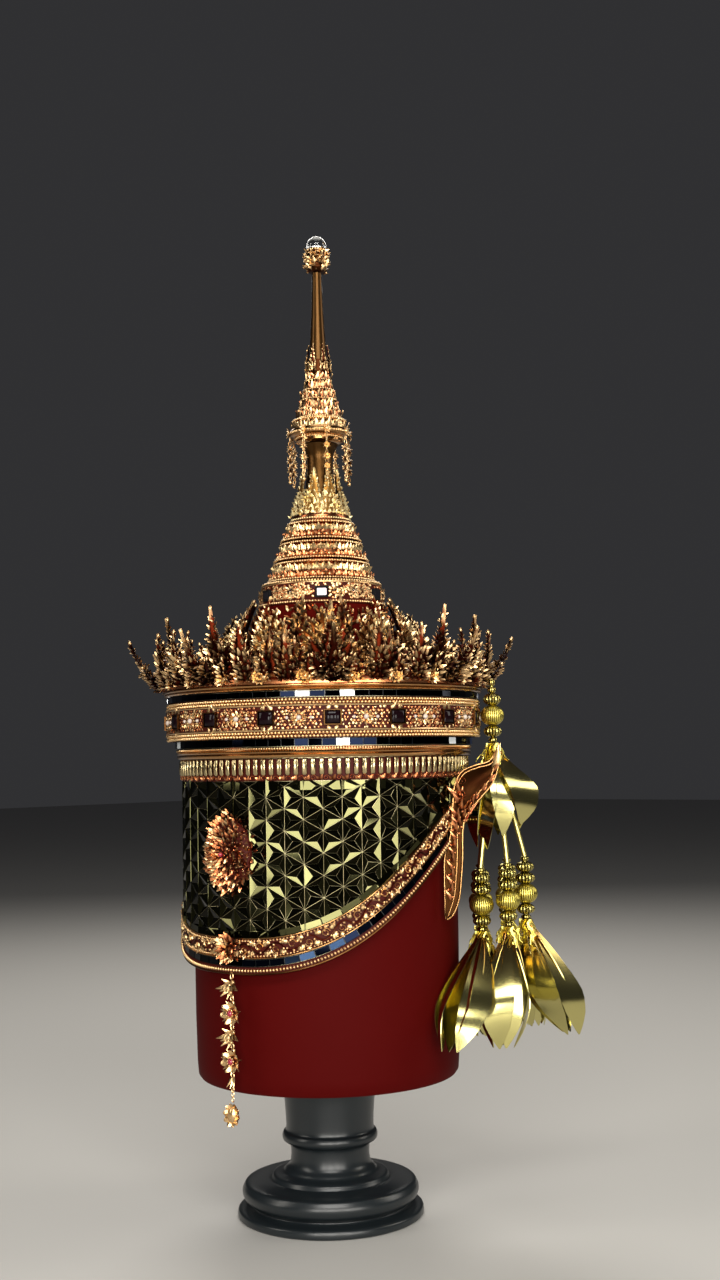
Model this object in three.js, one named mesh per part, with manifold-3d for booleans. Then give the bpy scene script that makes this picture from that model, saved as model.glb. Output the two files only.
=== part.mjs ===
// A spired dance crown on its display stand.
// Millimetres, +Z up. The origin is the centre of the stand's foot, and -Y is the wearer's front.
// Angles round the crown are measured from the centre of the back (+Y) towards the wearer's right (-X).
import * as THREE from "three";
import { mergeVertices } from "three/addons/utils/BufferGeometryUtils.js";
import Module from "manifold-3d";

const wasm = await Module();
wasm.setup();

// Driving dimensions
const GAP = 0.3; // clearance between pieces that sit on each other
const RING_SEGMENTS = 36; // facets round the crown, the same on every ring so that the gaps stay even
const SPIRE_SEGMENTS = 20;
const BEAD_SEGMENTS = 8;

const FOOT_R = 60;
const BLOCK_R = 86.5;
const BLOCK_BOTTOM_Z = 90;
const BLOCK_TOP_Z = 344.2;

const WALL_R = 92; // outside of the mosaic wall
const WALL_T = 2.4;
const FLARE_R = 100.2; // outside of the wall behind the jewelled band
const WALL_TOP_Z = 338;
const EDGE_BACK_Z = 164; // lower edge at the nape
const EDGE_FRONT_Z = 250; // lower edge over the forehead
const EDGE_LEVEL_DEG = 118; // from here to the front the edge runs level

const BAND_R = 104; // jewelled band
const CORNICE_R = 106;
const COLLAR_R = 41; // jewelled collar under the spire

const CREST_COUNT = 8; // large flame leaves, each with a tall leaf behind it
const CREST_SIDE_DEG = 15; // a smaller leaf stands this far to either side of each large one
const DOME_LEAF_COUNT = 12;
const BLADE_COUNT = 8; // upright leaf blades round the neck
const CHAIN_COUNT = 8; // chains that hang from the parasol
const CHAIN_R = 22.6;
const CHAIN_DEG = 11; // where the first chain hangs
const CHAIN_TOP_Z = 508.2;
const CHAIN_LENGTH = 31;

const EAR_DEG = 97; // where the ear ornament meets the wall
const EAR_T = 3.2;
const EAR_TWIST_DEG = 0.35; // forward lean of the wing for each millimetre outwards

const STRAND_DEG = 4; // the strand that hangs at the nape
const STRAND_R = 94.5; // straight below the rope

const TASSEL_DEG = 122;
const TASSEL_R = 112.1; // the largest bead rests against the jewelled band

const rad = THREE.MathUtils.degToRad;

// Finishes
const finish = (color, roughness, metalness) =>
  new THREE.MeshStandardMaterial({ color, roughness, metalness });
const gilt = finish("#c98a3c", 0.32, 1);
const polishedGold = finish("#b9853a", 0.18, 1);
const foilGold = finish("#b8a544", 0.22, 1);
const darkMirror = finish("#141008", 0.05, 1);
const blueMirror = finish("#0c1222", 0.05, 1);
const redLacquer = finish("#5a1010", 0.35, 0);
const redPaint = finish("#650c10", 0.6, 0);
const blackLacquer = finish("#0b0e10", 0.3, 0);
const crystal = finish("#e8ecec", 0.03, 0);

const crown = new THREE.Group();

function add(name, geometry, material) {
  const mesh = new THREE.Mesh(geometry, material);
  mesh.name = name;
  crown.add(mesh);
  return mesh;
}

// A profile of [radius, height] pairs, turned about Z.
function turned(profile, segments) {
  const points = profile.map(([r, z]) => new THREE.Vector2(r, z));
  return new THREE.LatheGeometry(points, segments).rotateX(Math.PI / 2);
}

// A closed section, listed anticlockwise with the radius to the right, turned about Z.
const ring = (section, segments = RING_SEGMENTS) => turned([...section, section[0]], segments);

// A band with straight sides, or one whose outside bulges at mid height.
function band(innerR, outerR, lowZ, highZ, bulge = 0) {
  const midZ = (lowZ + highZ) / 2;
  const swell = bulge ? [[outerR + bulge, midZ]] : [];
  return ring([[innerR, lowZ], [outerR, lowZ], ...swell, [outerR, highZ], [innerR, highZ]]);
}

// Moves every vertex of a geometry by a function of its position.
function warp(geometry, move) {
  const position = geometry.getAttribute("position");
  const v = new THREE.Vector3();
  for (let i = 0; i < position.count; i++) {
    move(v.fromBufferAttribute(position, i));
    position.setXYZ(i, v.x, v.y, v.z);
  }
  return geometry;
}

const polar = (r, deg, z) => new THREE.Vector3(-r * Math.sin(rad(deg)), r * Math.cos(rad(deg)), z);
const angleOf = (v) => Math.abs(THREE.MathUtils.radToDeg(Math.atan2(-v.x, v.y)));

// Booleans
function solid(geometry) {
  const bare = geometry.clone();
  bare.deleteAttribute("normal");
  bare.deleteAttribute("uv");
  const merged = mergeVertices(bare, 1e-3);
  return new wasm.Manifold(
    new wasm.Mesh({
      numProp: 3,
      vertProperties: merged.attributes.position.array,
      triVerts: new Uint32Array(merged.index.array),
    }),
  );
}

function geometryOf(manifold) {
  const { vertProperties, triVerts } = manifold.getMesh();
  return new THREE.BufferGeometry()
    .setAttribute("position", new THREE.BufferAttribute(vertProperties, 3))
    .setIndex(new THREE.BufferAttribute(triVerts, 1));
}

const joined = (geometries) => geometryOf(geometries.map(solid).reduce((a, b) => a.add(b)));
const cut = (geometry, tool) => geometryOf(solid(geometry).subtract(solid(tool)));

// The swept lower edge: low at the nape, rising past the ears, level over the forehead.
function edgeZ(deg) {
  const share = Math.min(1, deg / EDGE_LEVEL_DEG);
  const rise = Math.sin((Math.PI / 2) * share ** 1.5) ** 2;
  return EDGE_BACK_Z + (EDGE_FRONT_Z - EDGE_BACK_Z) * rise;
}

// On the slope a trim keeps part of its width square to the edge, so it grows upright.
function edgeStretch(deg) {
  const step = 1;
  const slope = (edgeZ(deg + step) - edgeZ(Math.max(0, deg - step))) / (2 * step * rad(1) * WALL_R);
  return (1 + slope ** 2) ** 0.25;
}

// A band that follows the lower edge. Its section's heights count from the edge.
function edgeBand(section) {
  return warp(ring(section), (v) => {
    const deg = angleOf(v);
    v.z = edgeZ(deg) + v.z * edgeStretch(deg);
  });
}

// Stand
const pedestalProfile = [
  [0, 0], [FOOT_R, 0], [FOOT_R, 4], [51, 8], [56, 11], [57, 16], [54, 21], [37, 23.5],
  [27, 30], [25.5, 44], [30.5, 48], [29, 55], [34, BLOCK_BOTTOM_Z - GAP], [0, BLOCK_BOTTOM_Z - GAP],
];
add("stand_pedestal", turned(pedestalProfile, RING_SEGMENTS), blackLacquer);

const blockProfile = [
  [0, BLOCK_BOTTOM_Z], [81.5, BLOCK_BOTTOM_Z], [84.5, 93], [BLOCK_R - 0.5, 130], [BLOCK_R, 180],
  [BLOCK_R, 325], [80, 338], [65, BLOCK_TOP_Z], [0, BLOCK_TOP_Z],
];
add("stand_block", turned(blockProfile, RING_SEGMENTS), redPaint);

// Cap: a thin wall that flares behind the jewelled band and is open below
const wallBottom = 0.6; // the bead rope hides this much of the wall's edge
const wallSection = [
  [WALL_R - WALL_T, wallBottom], [WALL_R, wallBottom], [WALL_R, 296], [94, 300], [94, 304],
  [FLARE_R, 308], [FLARE_R, WALL_TOP_Z], [FLARE_R - WALL_T, WALL_TOP_Z], [FLARE_R - WALL_T, 309],
  [94 - WALL_T, 305], [94 - WALL_T, 301], [WALL_R - WALL_T, 297],
];
const capWall = warp(ring(wallSection), (v) => {
  if (v.z < 1) v.z += edgeZ(angleOf(v));
});
add("cap_wall", capWall, darkMirror);

const domeOutside = [
  [103.2, 338.4], [103.2, 340.8], [90, 342.5], [66, 347], [56, 354], [49, 375], [COLLAR_R, 396.9],
];
const domeInside = [
  [38.5, 396.9], [46.5, 374], [53.5, 352.2], [65, 344.6], [89.5, 340.1], [98, 338.4],
];
add("dome", ring([...domeOutside, ...domeInside]), redLacquer);

// Bands round the cap, from the mosaic up
const gadroonSection = [
  [WALL_R + GAP, 281.8], [94.4, 281.8], [95.5, 286.5], [95.5, 293.8], [WALL_R + GAP, 293.8],
];
add("gadroon_band", ring(gadroonSection), gilt);
add("beaded_moulding", band(94 + GAP + 0.1, 97, 294.1, 300.7, 0.6), polishedGold);
add("lower_mirror_strip", band(96.6, 98.4, 301, 305.4), blueMirror);
add("jewel_band", band(FLARE_R + GAP, BAND_R - 0.6, 305.7, 330.1, 0.6), gilt);
add("upper_mirror_strip", band(FLARE_R + GAP, 103, 330.4, 334), blueMirror);
add("cornice_ring", band(FLARE_R + GAP, CORNICE_R - 0.6, 334.3, 338.1, 0.6), polishedGold);

// Trim along the lower edge
const TRIM_R = WALL_R + GAP;
add("edge_bead_rope", edgeBand([[TRIM_R, 0], [95.2, 0.4], [95.8, 2.1], [95.2, 3.8], [TRIM_R, 4.2]]), gilt);
add("edge_mirror_strip", edgeBand([[TRIM_R, 4.6], [94.2, 4.6], [94.2, 8.6], [TRIM_R, 8.6]]), blueMirror);
add("scroll_trim", edgeBand([[TRIM_R, 9], [94.6, 9], [95.6, 15], [94.6, 21.6], [TRIM_R, 21.6]]), gilt);

// Boss of an oval outline that stands off the wall at the centre of the back, bent to the wall's curve.
const BOSS_PROFILE = [[0, 0], [0.35, 0], [0.7, 0], [1, 0], [0.9, 0.4], [0.62, 0.78], [0.3, 0.95], [0, 1]];
function backBoss(faceR, centreZ, halfWidth, halfHeight, height) {
  const dome = turned(BOSS_PROFILE, 16).rotateX(-Math.PI / 2).scale(halfWidth, height, halfHeight);
  return warp(dome, (v) => {
    const turn = v.x / faceR;
    const r = faceR + v.y;
    v.set(r * Math.sin(turn), r * Math.cos(turn), centreZ + v.z);
  });
}
add("back_medallion", backBoss(WALL_R + 0.6, 236, 21, 26, 9), gilt);
add("edge_rosette", backBoss(96.3, EDGE_BACK_Z + 15.5, 9, 7.5, 4.5), gilt);

// Ear ornaments: a flame-shaped wing above and a hanging blade below, drawn as [radius, height]
const EAR_OUTLINE = [
  [95, 194], [98.5, 204], [99.8, 214], [100.6, 230], [100.8, 245], [102.8, 255.7], [106.6, 261.4],
  [112.2, 268.4], [117.2, 275.5], [120.6, 285.5], [122, 293], [123.4, 301.8], [120.8, 298], [117.8, 290.2],
  [112.6, 288.6], [107.1, 286.5], [101.5, 283], [97.4, 278.1], [96.2, 270], [96.2, 236], [93.6, 232], [93.6, 214],
];

function earOrnament() {
  const outline = new THREE.Shape(EAR_OUTLINE.map(([r, z]) => new THREE.Vector2(r, z)));
  const plate = new THREE.ExtrudeGeometry(outline, { depth: EAR_T, bevelEnabled: false });
  return warp(plate, (v) => {
    const across = (EAR_T / 2 - v.z) / v.x;
    const deg = EAR_DEG + EAR_TWIST_DEG * (v.x - WALL_R) + THREE.MathUtils.radToDeg(across);
    v.copy(polar(v.x, deg, v.y));
  });
}
add("ear_ornament_right", earOrnament(), gilt);
add("ear_ornament_left", earOrnament(), gilt).scale.x = -1;

// Leaves: a plate whose half width is tabled along its length, bent along a spine of [radius, height] points
const FLAME_WIDTHS = [
  { along: 0, half: 9 }, { along: 0.2, half: 13 }, { along: 0.5, half: 7.6 }, { along: 0.8, half: 2.9 },
  { along: 1, half: 1 },
];
const BLADE_WIDTHS = [
  { along: 0, half: 4.5 }, { along: 0.35, half: 5.4 }, { along: 0.75, half: 3.2 }, { along: 1, half: 0.7 },
];

function leaf(widths, scale, thickness, spine) {
  const right = widths.map(({ along, half }) => new THREE.Vector2(half * scale, along));
  const left = widths.map(({ along, half }) => new THREE.Vector2(-half * scale, along)).reverse();
  const plate = new THREE.ExtrudeGeometry(new THREE.Shape([...right, ...left]), {
    depth: thickness,
    bevelEnabled: false,
  });
  const curve = new THREE.QuadraticBezierCurve(...spine.map(([r, z]) => new THREE.Vector2(r, z)));
  return warp(plate, (v) => {
    const at = curve.getPoint(v.y);
    const way = curve.getTangent(v.y);
    const off = thickness / 2 - v.z;
    v.set(v.x, at.x + way.y * off, at.y - way.x * off);
  });
}

const allRound = (shape, count, firstDeg) =>
  Array.from({ length: count }, (_, i) => shape.clone().rotateZ(rad(firstDeg + (360 / count) * i)));

// Cresting: flame leaves soldered to a base ring, in three rows from the cornice in to the dome
const outerFlame = leaf(FLAME_WIDTHS, 0.95, 2, [[104.8, 340], [121, 352], [127, 373]]);
const sideFlame = leaf(BLADE_WIDTHS, 1.3, 2, [[104.8, 340], [112, 352], [110, 374]]);
const outerBase = [[103.6, 338.4], [106, 338.4], [106, 342.4], [103.6, 342.4]];
const outerLeaves = [
  ...allRound(outerFlame, CREST_COUNT, 0),
  ...allRound(sideFlame, CREST_COUNT, CREST_SIDE_DEG),
  ...allRound(sideFlame, CREST_COUNT, -CREST_SIDE_DEG),
];
add("cresting_outer", joined([ring(outerBase), ...outerLeaves]), gilt);

const innerFlame = leaf(FLAME_WIDTHS, 0.85, 2, [[96, 343], [100, 362], [103, 387]]);
const innerBase = [[94.5, 342.4], [97.5, 342.4], [97.5, 345.4], [94.5, 345.4]];
add("cresting_inner", joined([ring(innerBase), ...allRound(innerFlame, CREST_COUNT, 0)]), gilt);

const domeLeaf = leaf(BLADE_WIDTHS, 2.3, 2, [[66, 349], [66, 374], [54, 397]]);
const domeLeafBase = [[64.7, 348.2], [67.5, 348.2], [67.5, 351.2], [64.7, 351.2]];
add("dome_leaves", joined([ring(domeLeafBase), ...allRound(domeLeaf, DOME_LEAF_COUNT, 0)]), gilt);

// Spire, each piece turned and stacked on the one below
const collarProfile = [[0, 397.2], [40.5, 397.2], [COLLAR_R, 399], [40, 409], [38.2, 411], [0, 411]];
add("jewel_collar", turned(collarProfile, SPIRE_SEGMENTS), gilt);

const SPIRE_TIERS = [
  { low: 411.3, high: 427.9, lowR: 38, highR: 30.6 },
  { low: 428.2, high: 442.3, lowR: 32.6, highR: 26 },
  { low: 442.6, high: 455.4, lowR: 28, highR: 21.6 },
];
SPIRE_TIERS.forEach(({ low, high, lowR, highR }, i) => {
  const lip = 2.5; // height of the rounded rim
  const rim = [[lowR - 0.8, low], [lowR, low + lip / 2], [lowR - 1.5, low + lip]];
  const profile = [[0, low], ...rim, [highR, high], [0, high]];
  add(`spire_tier_${i + 1}`, turned(profile, SPIRE_SEGMENTS), gilt);
});

const NECK_FOOT_Z = 455.7;
const neckProfile = [
  [0, NECK_FOOT_Z], [11, NECK_FOOT_Z], [10, 470], [8.8, 488], [9.2, 497], [12.5, 504], [0, 504],
];
add("spire_neck", turned(neckProfile, SPIRE_SEGMENTS), polishedGold);

const blade = leaf(BLADE_WIDTHS, 1.15, 1.6, [[19.8, 457.5], [17.6, 474], [15, 487]]);
const bladeBase = [[11.6, NECK_FOOT_Z], [21.4, NECK_FOOT_Z], [20.8, 460], [18.4, 462], [12.4, 462]];
const blades = allRound(blade, BLADE_COUNT, 180 / BLADE_COUNT);
add("leaf_collar", joined([ring(bladeBase, SPIRE_SEGMENTS), ...blades]), gilt);

const parasolProfile = [
  [0, 504.3], [12.5, 504.3], [16, 506], [16.4, 509], [20.4, 510.4], [20, 513.5], [17.4, 520.7], [0, 520.7],
];
const bosses = Array.from({ length: CHAIN_COUNT }, (_, i) => {
  const at = polar(CHAIN_R - 1.4, CHAIN_DEG + (360 / CHAIN_COUNT) * i, 511.2);
  return new THREE.IcosahedronGeometry(2.9).translate(at.x, at.y, at.z);
});
add("parasol", joined([turned(parasolProfile, SPIRE_SEGMENTS), ...bosses]), gilt);

const coneProfile = [
  [0, 521], [17, 521], [15.2, 529], [12.6, 538], [10, 549], [8.6, 556], [8, 562], [6.9, 562],
  [6.9, 556], [0, 556],
];
add("spire_cone", turned(coneProfile, SPIRE_SEGMENTS), gilt);

const rodProfile = [
  [0, 556.3], [6.3, 556.3], [5.4, 571], [3.9, 594.6], [2.9, 623], [0, 623],
];
add("spire_rod", turned(rodProfile, SPIRE_SEGMENTS), polishedGold);

const GEM_R = 7;
const GEM_Z = 641.7;
const cupProfile = [
  [0, 623.3], [5.5, 623.3], [8.9, 627.3], [8, 631], [9, 635], [7.4, 641], [0, 641],
];
const ball = (r) => new THREE.SphereGeometry(r, 16, 10).rotateX(Math.PI / 2).translate(0, 0, GEM_Z);
add("finial_cup", cut(turned(cupProfile, 16), ball(GEM_R + GAP)), gilt);
add("finial_gem", ball(GEM_R), crystal);

// Chains from the parasol: a slim tube that swells at the flower and at the drop, counted down from the hook
const CHAIN_SWELLS = [
  [0, 0], [0.9, 0], [0.9, -9], [2.4, -12], [2.6, -17], [1, -20], [1, -25], [1.9, -28], [0, -CHAIN_LENGTH],
];
for (let i = 0; i < CHAIN_COUNT; i++) {
  const at = polar(CHAIN_R, CHAIN_DEG + (360 / CHAIN_COUNT) * i, CHAIN_TOP_Z);
  const chain = turned([...CHAIN_SWELLS].reverse(), 8).translate(at.x, at.y, at.z);
  add(`spire_chain_${i + 1}`, chain, gilt);
}

// Strand at the nape, hung link by link from the bead rope
const STRAND_LINKS = [
  { name: "nape_spray_1", length: 16, width: 15, depth: 6 },
  { name: "nape_flower_1", length: 14, width: 13, depth: 6 },
  { name: "nape_spray_2", length: 14, width: 15, depth: 6 },
  { name: "nape_flower_2", length: 14, width: 13, depth: 6 },
];
let hangZ = edgeZ(STRAND_DEG) - GAP;
for (const { name, length, width, depth } of STRAND_LINKS) {
  const oval = new THREE.SphereGeometry(0.5, BEAD_SEGMENTS, 8).rotateX(Math.PI / 2);
  const link = oval.scale(width, depth, length);
  const at = polar(STRAND_R, STRAND_DEG, hangZ - length / 2);
  add(name, link.rotateZ(rad(STRAND_DEG)).translate(at.x, at.y, at.z), gilt);
  hangZ -= length + GAP;
}
const DROP_PROFILE = [
  [0, 0], [2.6, 0], [2.2, -8], [0.6, -10], [0.6, -16], [3, -19], [5, -25], [4, -30], [0, -32],
];
const dropAt = polar(STRAND_R, STRAND_DEG, hangZ);
const drop = turned([...DROP_PROFILE].reverse(), BEAD_SEGMENTS).translate(dropAt.x, dropAt.y, dropAt.z);
add("nape_drop", drop, gilt);

// Tassel: one string of beads, a drooping flower, and five strings that end in flowers of their own.
// A string is turned from its beads, each [half width, height of bead], threaded on a core.
const CORE_R = 1.1;
function threaded(beads, topZ) {
  const profile = [];
  let z = topZ;
  for (const { half, height } of beads) {
    const neck = Math.min(CORE_R, half);
    profile.push([neck, z], [half, z - height * 0.3], [half, z - height * 0.7]);
    z -= height;
  }
  return [[0, topZ], ...profile, [CORE_R, z], [0, z]];
}
const beadString = (beads, topZ) => turned(threaded(beads, topZ).reverse(), BEAD_SEGMENTS);

const TOP_BEADS = [
  { half: 2.6, height: 5 }, { half: 3.1, height: 4.5 }, { half: 5.9, height: 8 }, { half: 7.7, height: 13 },
  { half: 6, height: 7.6 }, { half: 3.1, height: 4 },
];
const TOP_BEADS_Z = 343.5;
const tasselAt = polar(TASSEL_R, TASSEL_DEG, 0);
add("tassel_top_string", beadString(TOP_BEADS, TOP_BEADS_Z).translate(tasselAt.x, tasselAt.y, 0), foilGold);

const topStringBottom = TOP_BEADS_Z - TOP_BEADS.reduce((sum, { height }) => sum + height, 0);
const TOP_FLOWER_OUT = [[0, 0], [3, 0], [5, -8], [12.5, -18], [15.4, -30], [15.6, -48]];
const TOP_FLOWER_IN = [[14.3, -48], [14, -30], [11, -19], [6, -12.4], [0, -12.4]];
const topFlower = turned([...TOP_FLOWER_OUT, ...TOP_FLOWER_IN].reverse(), BEAD_SEGMENTS);
const flowerTopZ = topStringBottom - GAP;
add("tassel_top_flower", topFlower.translate(tasselAt.x, tasselAt.y, flowerTopZ), foilGold);

// Each lower string leaves the top flower's throat on its own side and leans out to its place.
// Places are millimetres outwards and forwards from the tassel's own line.
// Slants are outwards and forwards for each millimetre down the flower.
const LOWER_STRINGS = [
  { throatDeg: 235, out: -9, forward: -13, topZ: 222, slant: [-0.25, -0.66] },
  { throatDeg: 302, out: 8, forward: -13, topZ: 225, slant: [-0.06, -0.22] },
  { throatDeg: 9, out: 18.5, forward: 3, topZ: 228, slant: [0.38, 0.04] },
  { throatDeg: 144, out: -11, forward: 8, topZ: 223, slant: [0.02, 0.2] },
  { throatDeg: 71, out: 6, forward: 17, topZ: 226, slant: [0.2, 0.4] },
];
const LOWER_BEADS = [
  { half: 3, height: 3.4 }, { half: 6, height: 7 }, { half: 6.6, height: 7.4 }, { half: 7.9, height: 12.6 },
  { half: 6, height: 7 }, { half: 3.4, height: 3.6 },
];
const THROAT_R = 3.4;
const THROAT_Z = flowerTopZ - 12.7;
const LOWER_FLOWER = [
  [0, 0], [2.6, 0], [4, -8], [11, -24], [13.8, -42], [11, -58], [4, -72], [0, -72],
];
const lowerLength = LOWER_BEADS.reduce((sum, { height }) => sum + height, 0);

LOWER_STRINGS.forEach(({ throatDeg, out, forward, topZ, slant }, i) => {
  const stringBottom = topZ - lowerLength;
  const rod = [[0, THROAT_Z], [CORE_R, THROAT_Z]];
  const beads = threaded(LOWER_BEADS, topZ).slice(1);
  const string = turned([...rod, ...beads].reverse(), BEAD_SEGMENTS);
  const flower = turned([...LOWER_FLOWER].reverse(), BEAD_SEGMENTS).translate(0, 0, stringBottom - GAP);
  // a shear carries the string from the throat to its place while every bead stays level
  const lean = (v) => {
    const share = THREE.MathUtils.clamp((THROAT_Z - v.z) / (THROAT_Z - topZ), 0, 1);
    const below = Math.max(0, stringBottom - GAP - v.z);
    const startOut = THROAT_R * Math.cos(rad(throatDeg));
    const startForward = THROAT_R * Math.sin(rad(throatDeg));
    const outwards = THREE.MathUtils.lerp(startOut, out, share) + slant[0] * below;
    const forwards = THREE.MathUtils.lerp(startForward, forward, share) + slant[1] * below;
    const place = polar(TASSEL_R + outwards, TASSEL_DEG, v.z).add(polar(forwards, TASSEL_DEG + 90, 0));
    v.set(v.x + place.x, v.y + place.y, v.z);
  };
  add(`tassel_string_${i + 1}`, warp(string, lean), foilGold);
  add(`tassel_flower_${i + 1}`, warp(flower, lean), foilGold);
});

export default crown;
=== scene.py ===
import math
import bpy
import numpy as np
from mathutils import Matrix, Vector


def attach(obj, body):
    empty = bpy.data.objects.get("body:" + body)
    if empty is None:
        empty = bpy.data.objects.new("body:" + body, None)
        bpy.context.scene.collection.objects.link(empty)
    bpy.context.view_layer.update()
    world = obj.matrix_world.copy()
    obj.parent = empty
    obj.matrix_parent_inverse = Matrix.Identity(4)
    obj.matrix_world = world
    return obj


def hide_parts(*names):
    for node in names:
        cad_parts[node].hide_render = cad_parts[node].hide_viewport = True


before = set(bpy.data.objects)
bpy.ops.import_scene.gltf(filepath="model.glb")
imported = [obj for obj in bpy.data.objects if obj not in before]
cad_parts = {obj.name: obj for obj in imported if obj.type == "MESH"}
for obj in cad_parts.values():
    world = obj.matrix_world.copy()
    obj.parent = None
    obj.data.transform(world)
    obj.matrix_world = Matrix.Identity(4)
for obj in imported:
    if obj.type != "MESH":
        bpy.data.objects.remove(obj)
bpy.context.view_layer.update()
tau = 2 * np.pi
rad = np.radians


# equal angles round a full turn, moved on by a share of one step
def evenly(count, phase=0.0):
    return (np.arange(count) + phase) / count * tau


# a direction divided by its own length
def unit(v):
    return v / np.linalg.norm(v, axis=-1, keepdims=True)


# a round section: cosine and sine of equal angles
def circle(sides):
    a = evenly(sides)
    return np.stack([np.cos(a), np.sin(a)], -1)


# a shape is a dictionary of arrays in millimetres: points, quads, triangles, and lift (0 deep, 1 on top)
# on the metals a low lift is painted shade and a high lift a lit top
def shape(v, quads=(), tris=(), lift=1.0):
    v = np.asarray(v, float).reshape(-1, 3)
    return {
        "v": v,
        "q": np.asarray(quads, int).reshape(-1, 4),
        "t": np.asarray(tris, int).reshape(-1, 3),
        "lift": np.broadcast_to(np.asarray(lift, float).ravel(), (len(v),)).copy(),
    }


# shapes put one after another, the faces of each counted on from the points before it
def join(shapes):
    starts = np.cumsum([0] + [len(s["v"]) for s in shapes])[:-1]
    return {
        "v": np.concatenate([s["v"] for s in shapes]),
        "q": np.concatenate([s["q"] + k for s, k in zip(shapes, starts)]),
        "t": np.concatenate([s["t"] + k for s, k in zip(shapes, starts)]),
        "lift": np.concatenate([s["lift"] for s in shapes]),
    }


# the same faces on other points
def moved(s, v):
    return {**s, "v": np.asarray(v, float).reshape(-1, 3)}


# left and right changed over: x turns its sign, and every face runs the other way round
def mirrored(s):
    return {**s, "v": s["v"] * [-1, 1, 1], "q": s["q"][:, ::-1], "t": s["t"][:, ::-1]}


# quads of a grid whose rows run along the first index; either way may close on itself
def gridQuads(rows, cols, wrapRows=False, wrapCols=False):
    i = np.arange(rows if wrapRows else rows - 1)[:, None]
    j = np.arange(cols if wrapCols else cols - 1)[None, :]
    i2, j2 = (i + 1) % rows, (j + 1) % cols
    return np.stack([i * cols + j, i2 * cols + j, i2 * cols + j2, i * cols + j2], -1).reshape(-1, 4)


# the faces of one block, repeated for blocks that follow each other with so many points each
def repeated(faces, points, count):
    faces = np.asarray(faces, int)
    return (faces[None] + (np.arange(count) * points)[:, None, None]).reshape(-1, faces.shape[1])


# one lift for all points, or one for each point of a section
def toneGrid(lift, rows, cols):
    return np.broadcast_to(np.asarray(lift, float), (rows, cols)).ravel()


# loops of points one after another, closed by a pole at each end
# a loop runs anticlockwise seen from the end of its path
def skin(loops, lift=1.0, closed=False):
    n, m = loops.shape[:2]
    v = loops.reshape(-1, 3)
    lift = toneGrid(lift, n, m)
    if closed:
        return shape(v, gridQuads(n, m, True, True), lift=lift)
    j = np.arange(m)
    k = (j + 1) % m
    head = np.stack([np.full(m, n * m), j, k], -1)
    tail = np.stack([np.full(m, n * m + 1), (n - 1) * m + k, (n - 1) * m + j], -1)
    ends = np.concatenate([v, loops[:1].mean(1), loops[-1:].mean(1)])
    tones = np.concatenate([lift, lift[:1], lift[-1:]])
    return shape(ends, gridQuads(n, m, False, True), np.concatenate([head, tail]), tones)


# a section carried along a path: point = path + across * width * s0 + up * height * s1
def sweep(path, across, up, section, halfWidth, halfHeight, lift=1.0, closed=False):
    path, section = np.asarray(path, float), np.asarray(section, float)
    n = len(path)
    w = np.broadcast_to(halfWidth, n)[:, None, None] * section[None, :, :1]
    h = np.broadcast_to(halfHeight, n)[:, None, None] * section[None, :, 1:]
    across = np.broadcast_to(across, (n, 3))[:, None, :]
    up = np.broadcast_to(up, (n, 3))[:, None, :]
    return skin(path[:, None, :] + across * w + up * h, lift, closed)


# copies of a shape: each point is turned by its copy's matrix, then moved; lift times the copy's own
def copies(s, turns, places, lift=None):
    turns, places = np.asarray(turns, float), np.asarray(places, float)
    n, size = len(places), len(s["v"])
    v = np.einsum("nij,kj->nki", turns, s["v"]) + places[:, None, :]
    tones = np.outer(np.ones(n) if lift is None else lift, s["lift"])
    return shape(v, repeated(s["q"], size, n), repeated(s["t"], size, n), tones)


# one copy, unturned, at a size and a place
def placed(s, size, place):
    return copies(s, np.diag(size)[None], [place])


# axes as columns: x, y and z of the shape go to these directions, times a size for each
def axesOf(x, y, z, size=(1, 1, 1)):
    m = np.stack(np.broadcast_arrays(x, y, z), -1).astype(float)
    return m * np.broadcast_to(np.asarray(size, float), m.shape[:-2] + (3,))[..., None, :]


# a place at radius, angle and height: x is minus the radius times the sine, y the radius times the cosine
# so the angle starts at the back of the crown
def polar(r, psi, z):
    r, psi, z = np.broadcast_arrays(np.asarray(r, float), psi, z)
    return np.stack([-r * np.sin(psi), r * np.cos(psi), z], -1)


# directions at an angle round the crown: along the ring, outwards (the place itself at radius 1) and upwards
def ringAxes(psi):
    psi = np.asarray(psi, float)
    zero, one = np.zeros_like(psi), np.ones_like(psi)
    along = np.stack([-np.cos(psi), -np.sin(psi), zero], -1)
    out = np.stack([-np.sin(psi), np.cos(psi), zero], -1)
    return along, out, np.stack([zero, zero, one], -1)


# a profile of radius and height turned about Z
# listed anticlockwise with the radius to the right, it faces outwards
def turnedRing(profile, count, lift=1.0):
    p = np.asarray(profile, float)
    v = polar(p[None, :, 0], evenly(count)[:, None], p[None, :, 1])
    return shape(v, gridQuads(count, len(p), True, True), lift=toneGrid(lift, count, len(p)))


# the same from a profile that starts and ends on the axis: the two end points are poles
def turnedSolid(profile, count, lift=1.0):
    p = np.asarray(profile, float)
    inner = p[1:-1]
    n, m = count, len(inner)
    v = polar(inner[None, :, 0], evenly(n)[:, None], inner[None, :, 1]).reshape(-1, 3)
    i = np.arange(n)
    k = (i + 1) % n
    low = np.stack([np.full(n, n * m), k * m, i * m], -1)
    high = np.stack([np.full(n, n * m + 1), i * m + m - 1, k * m + m - 1], -1)
    poles = [[0, 0, p[0, 1]], [0, 0, p[-1, 1]]]
    return shape(np.concatenate([v, poles]), gridQuads(n, m, True, False), np.concatenate([low, high]), lift)


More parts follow.
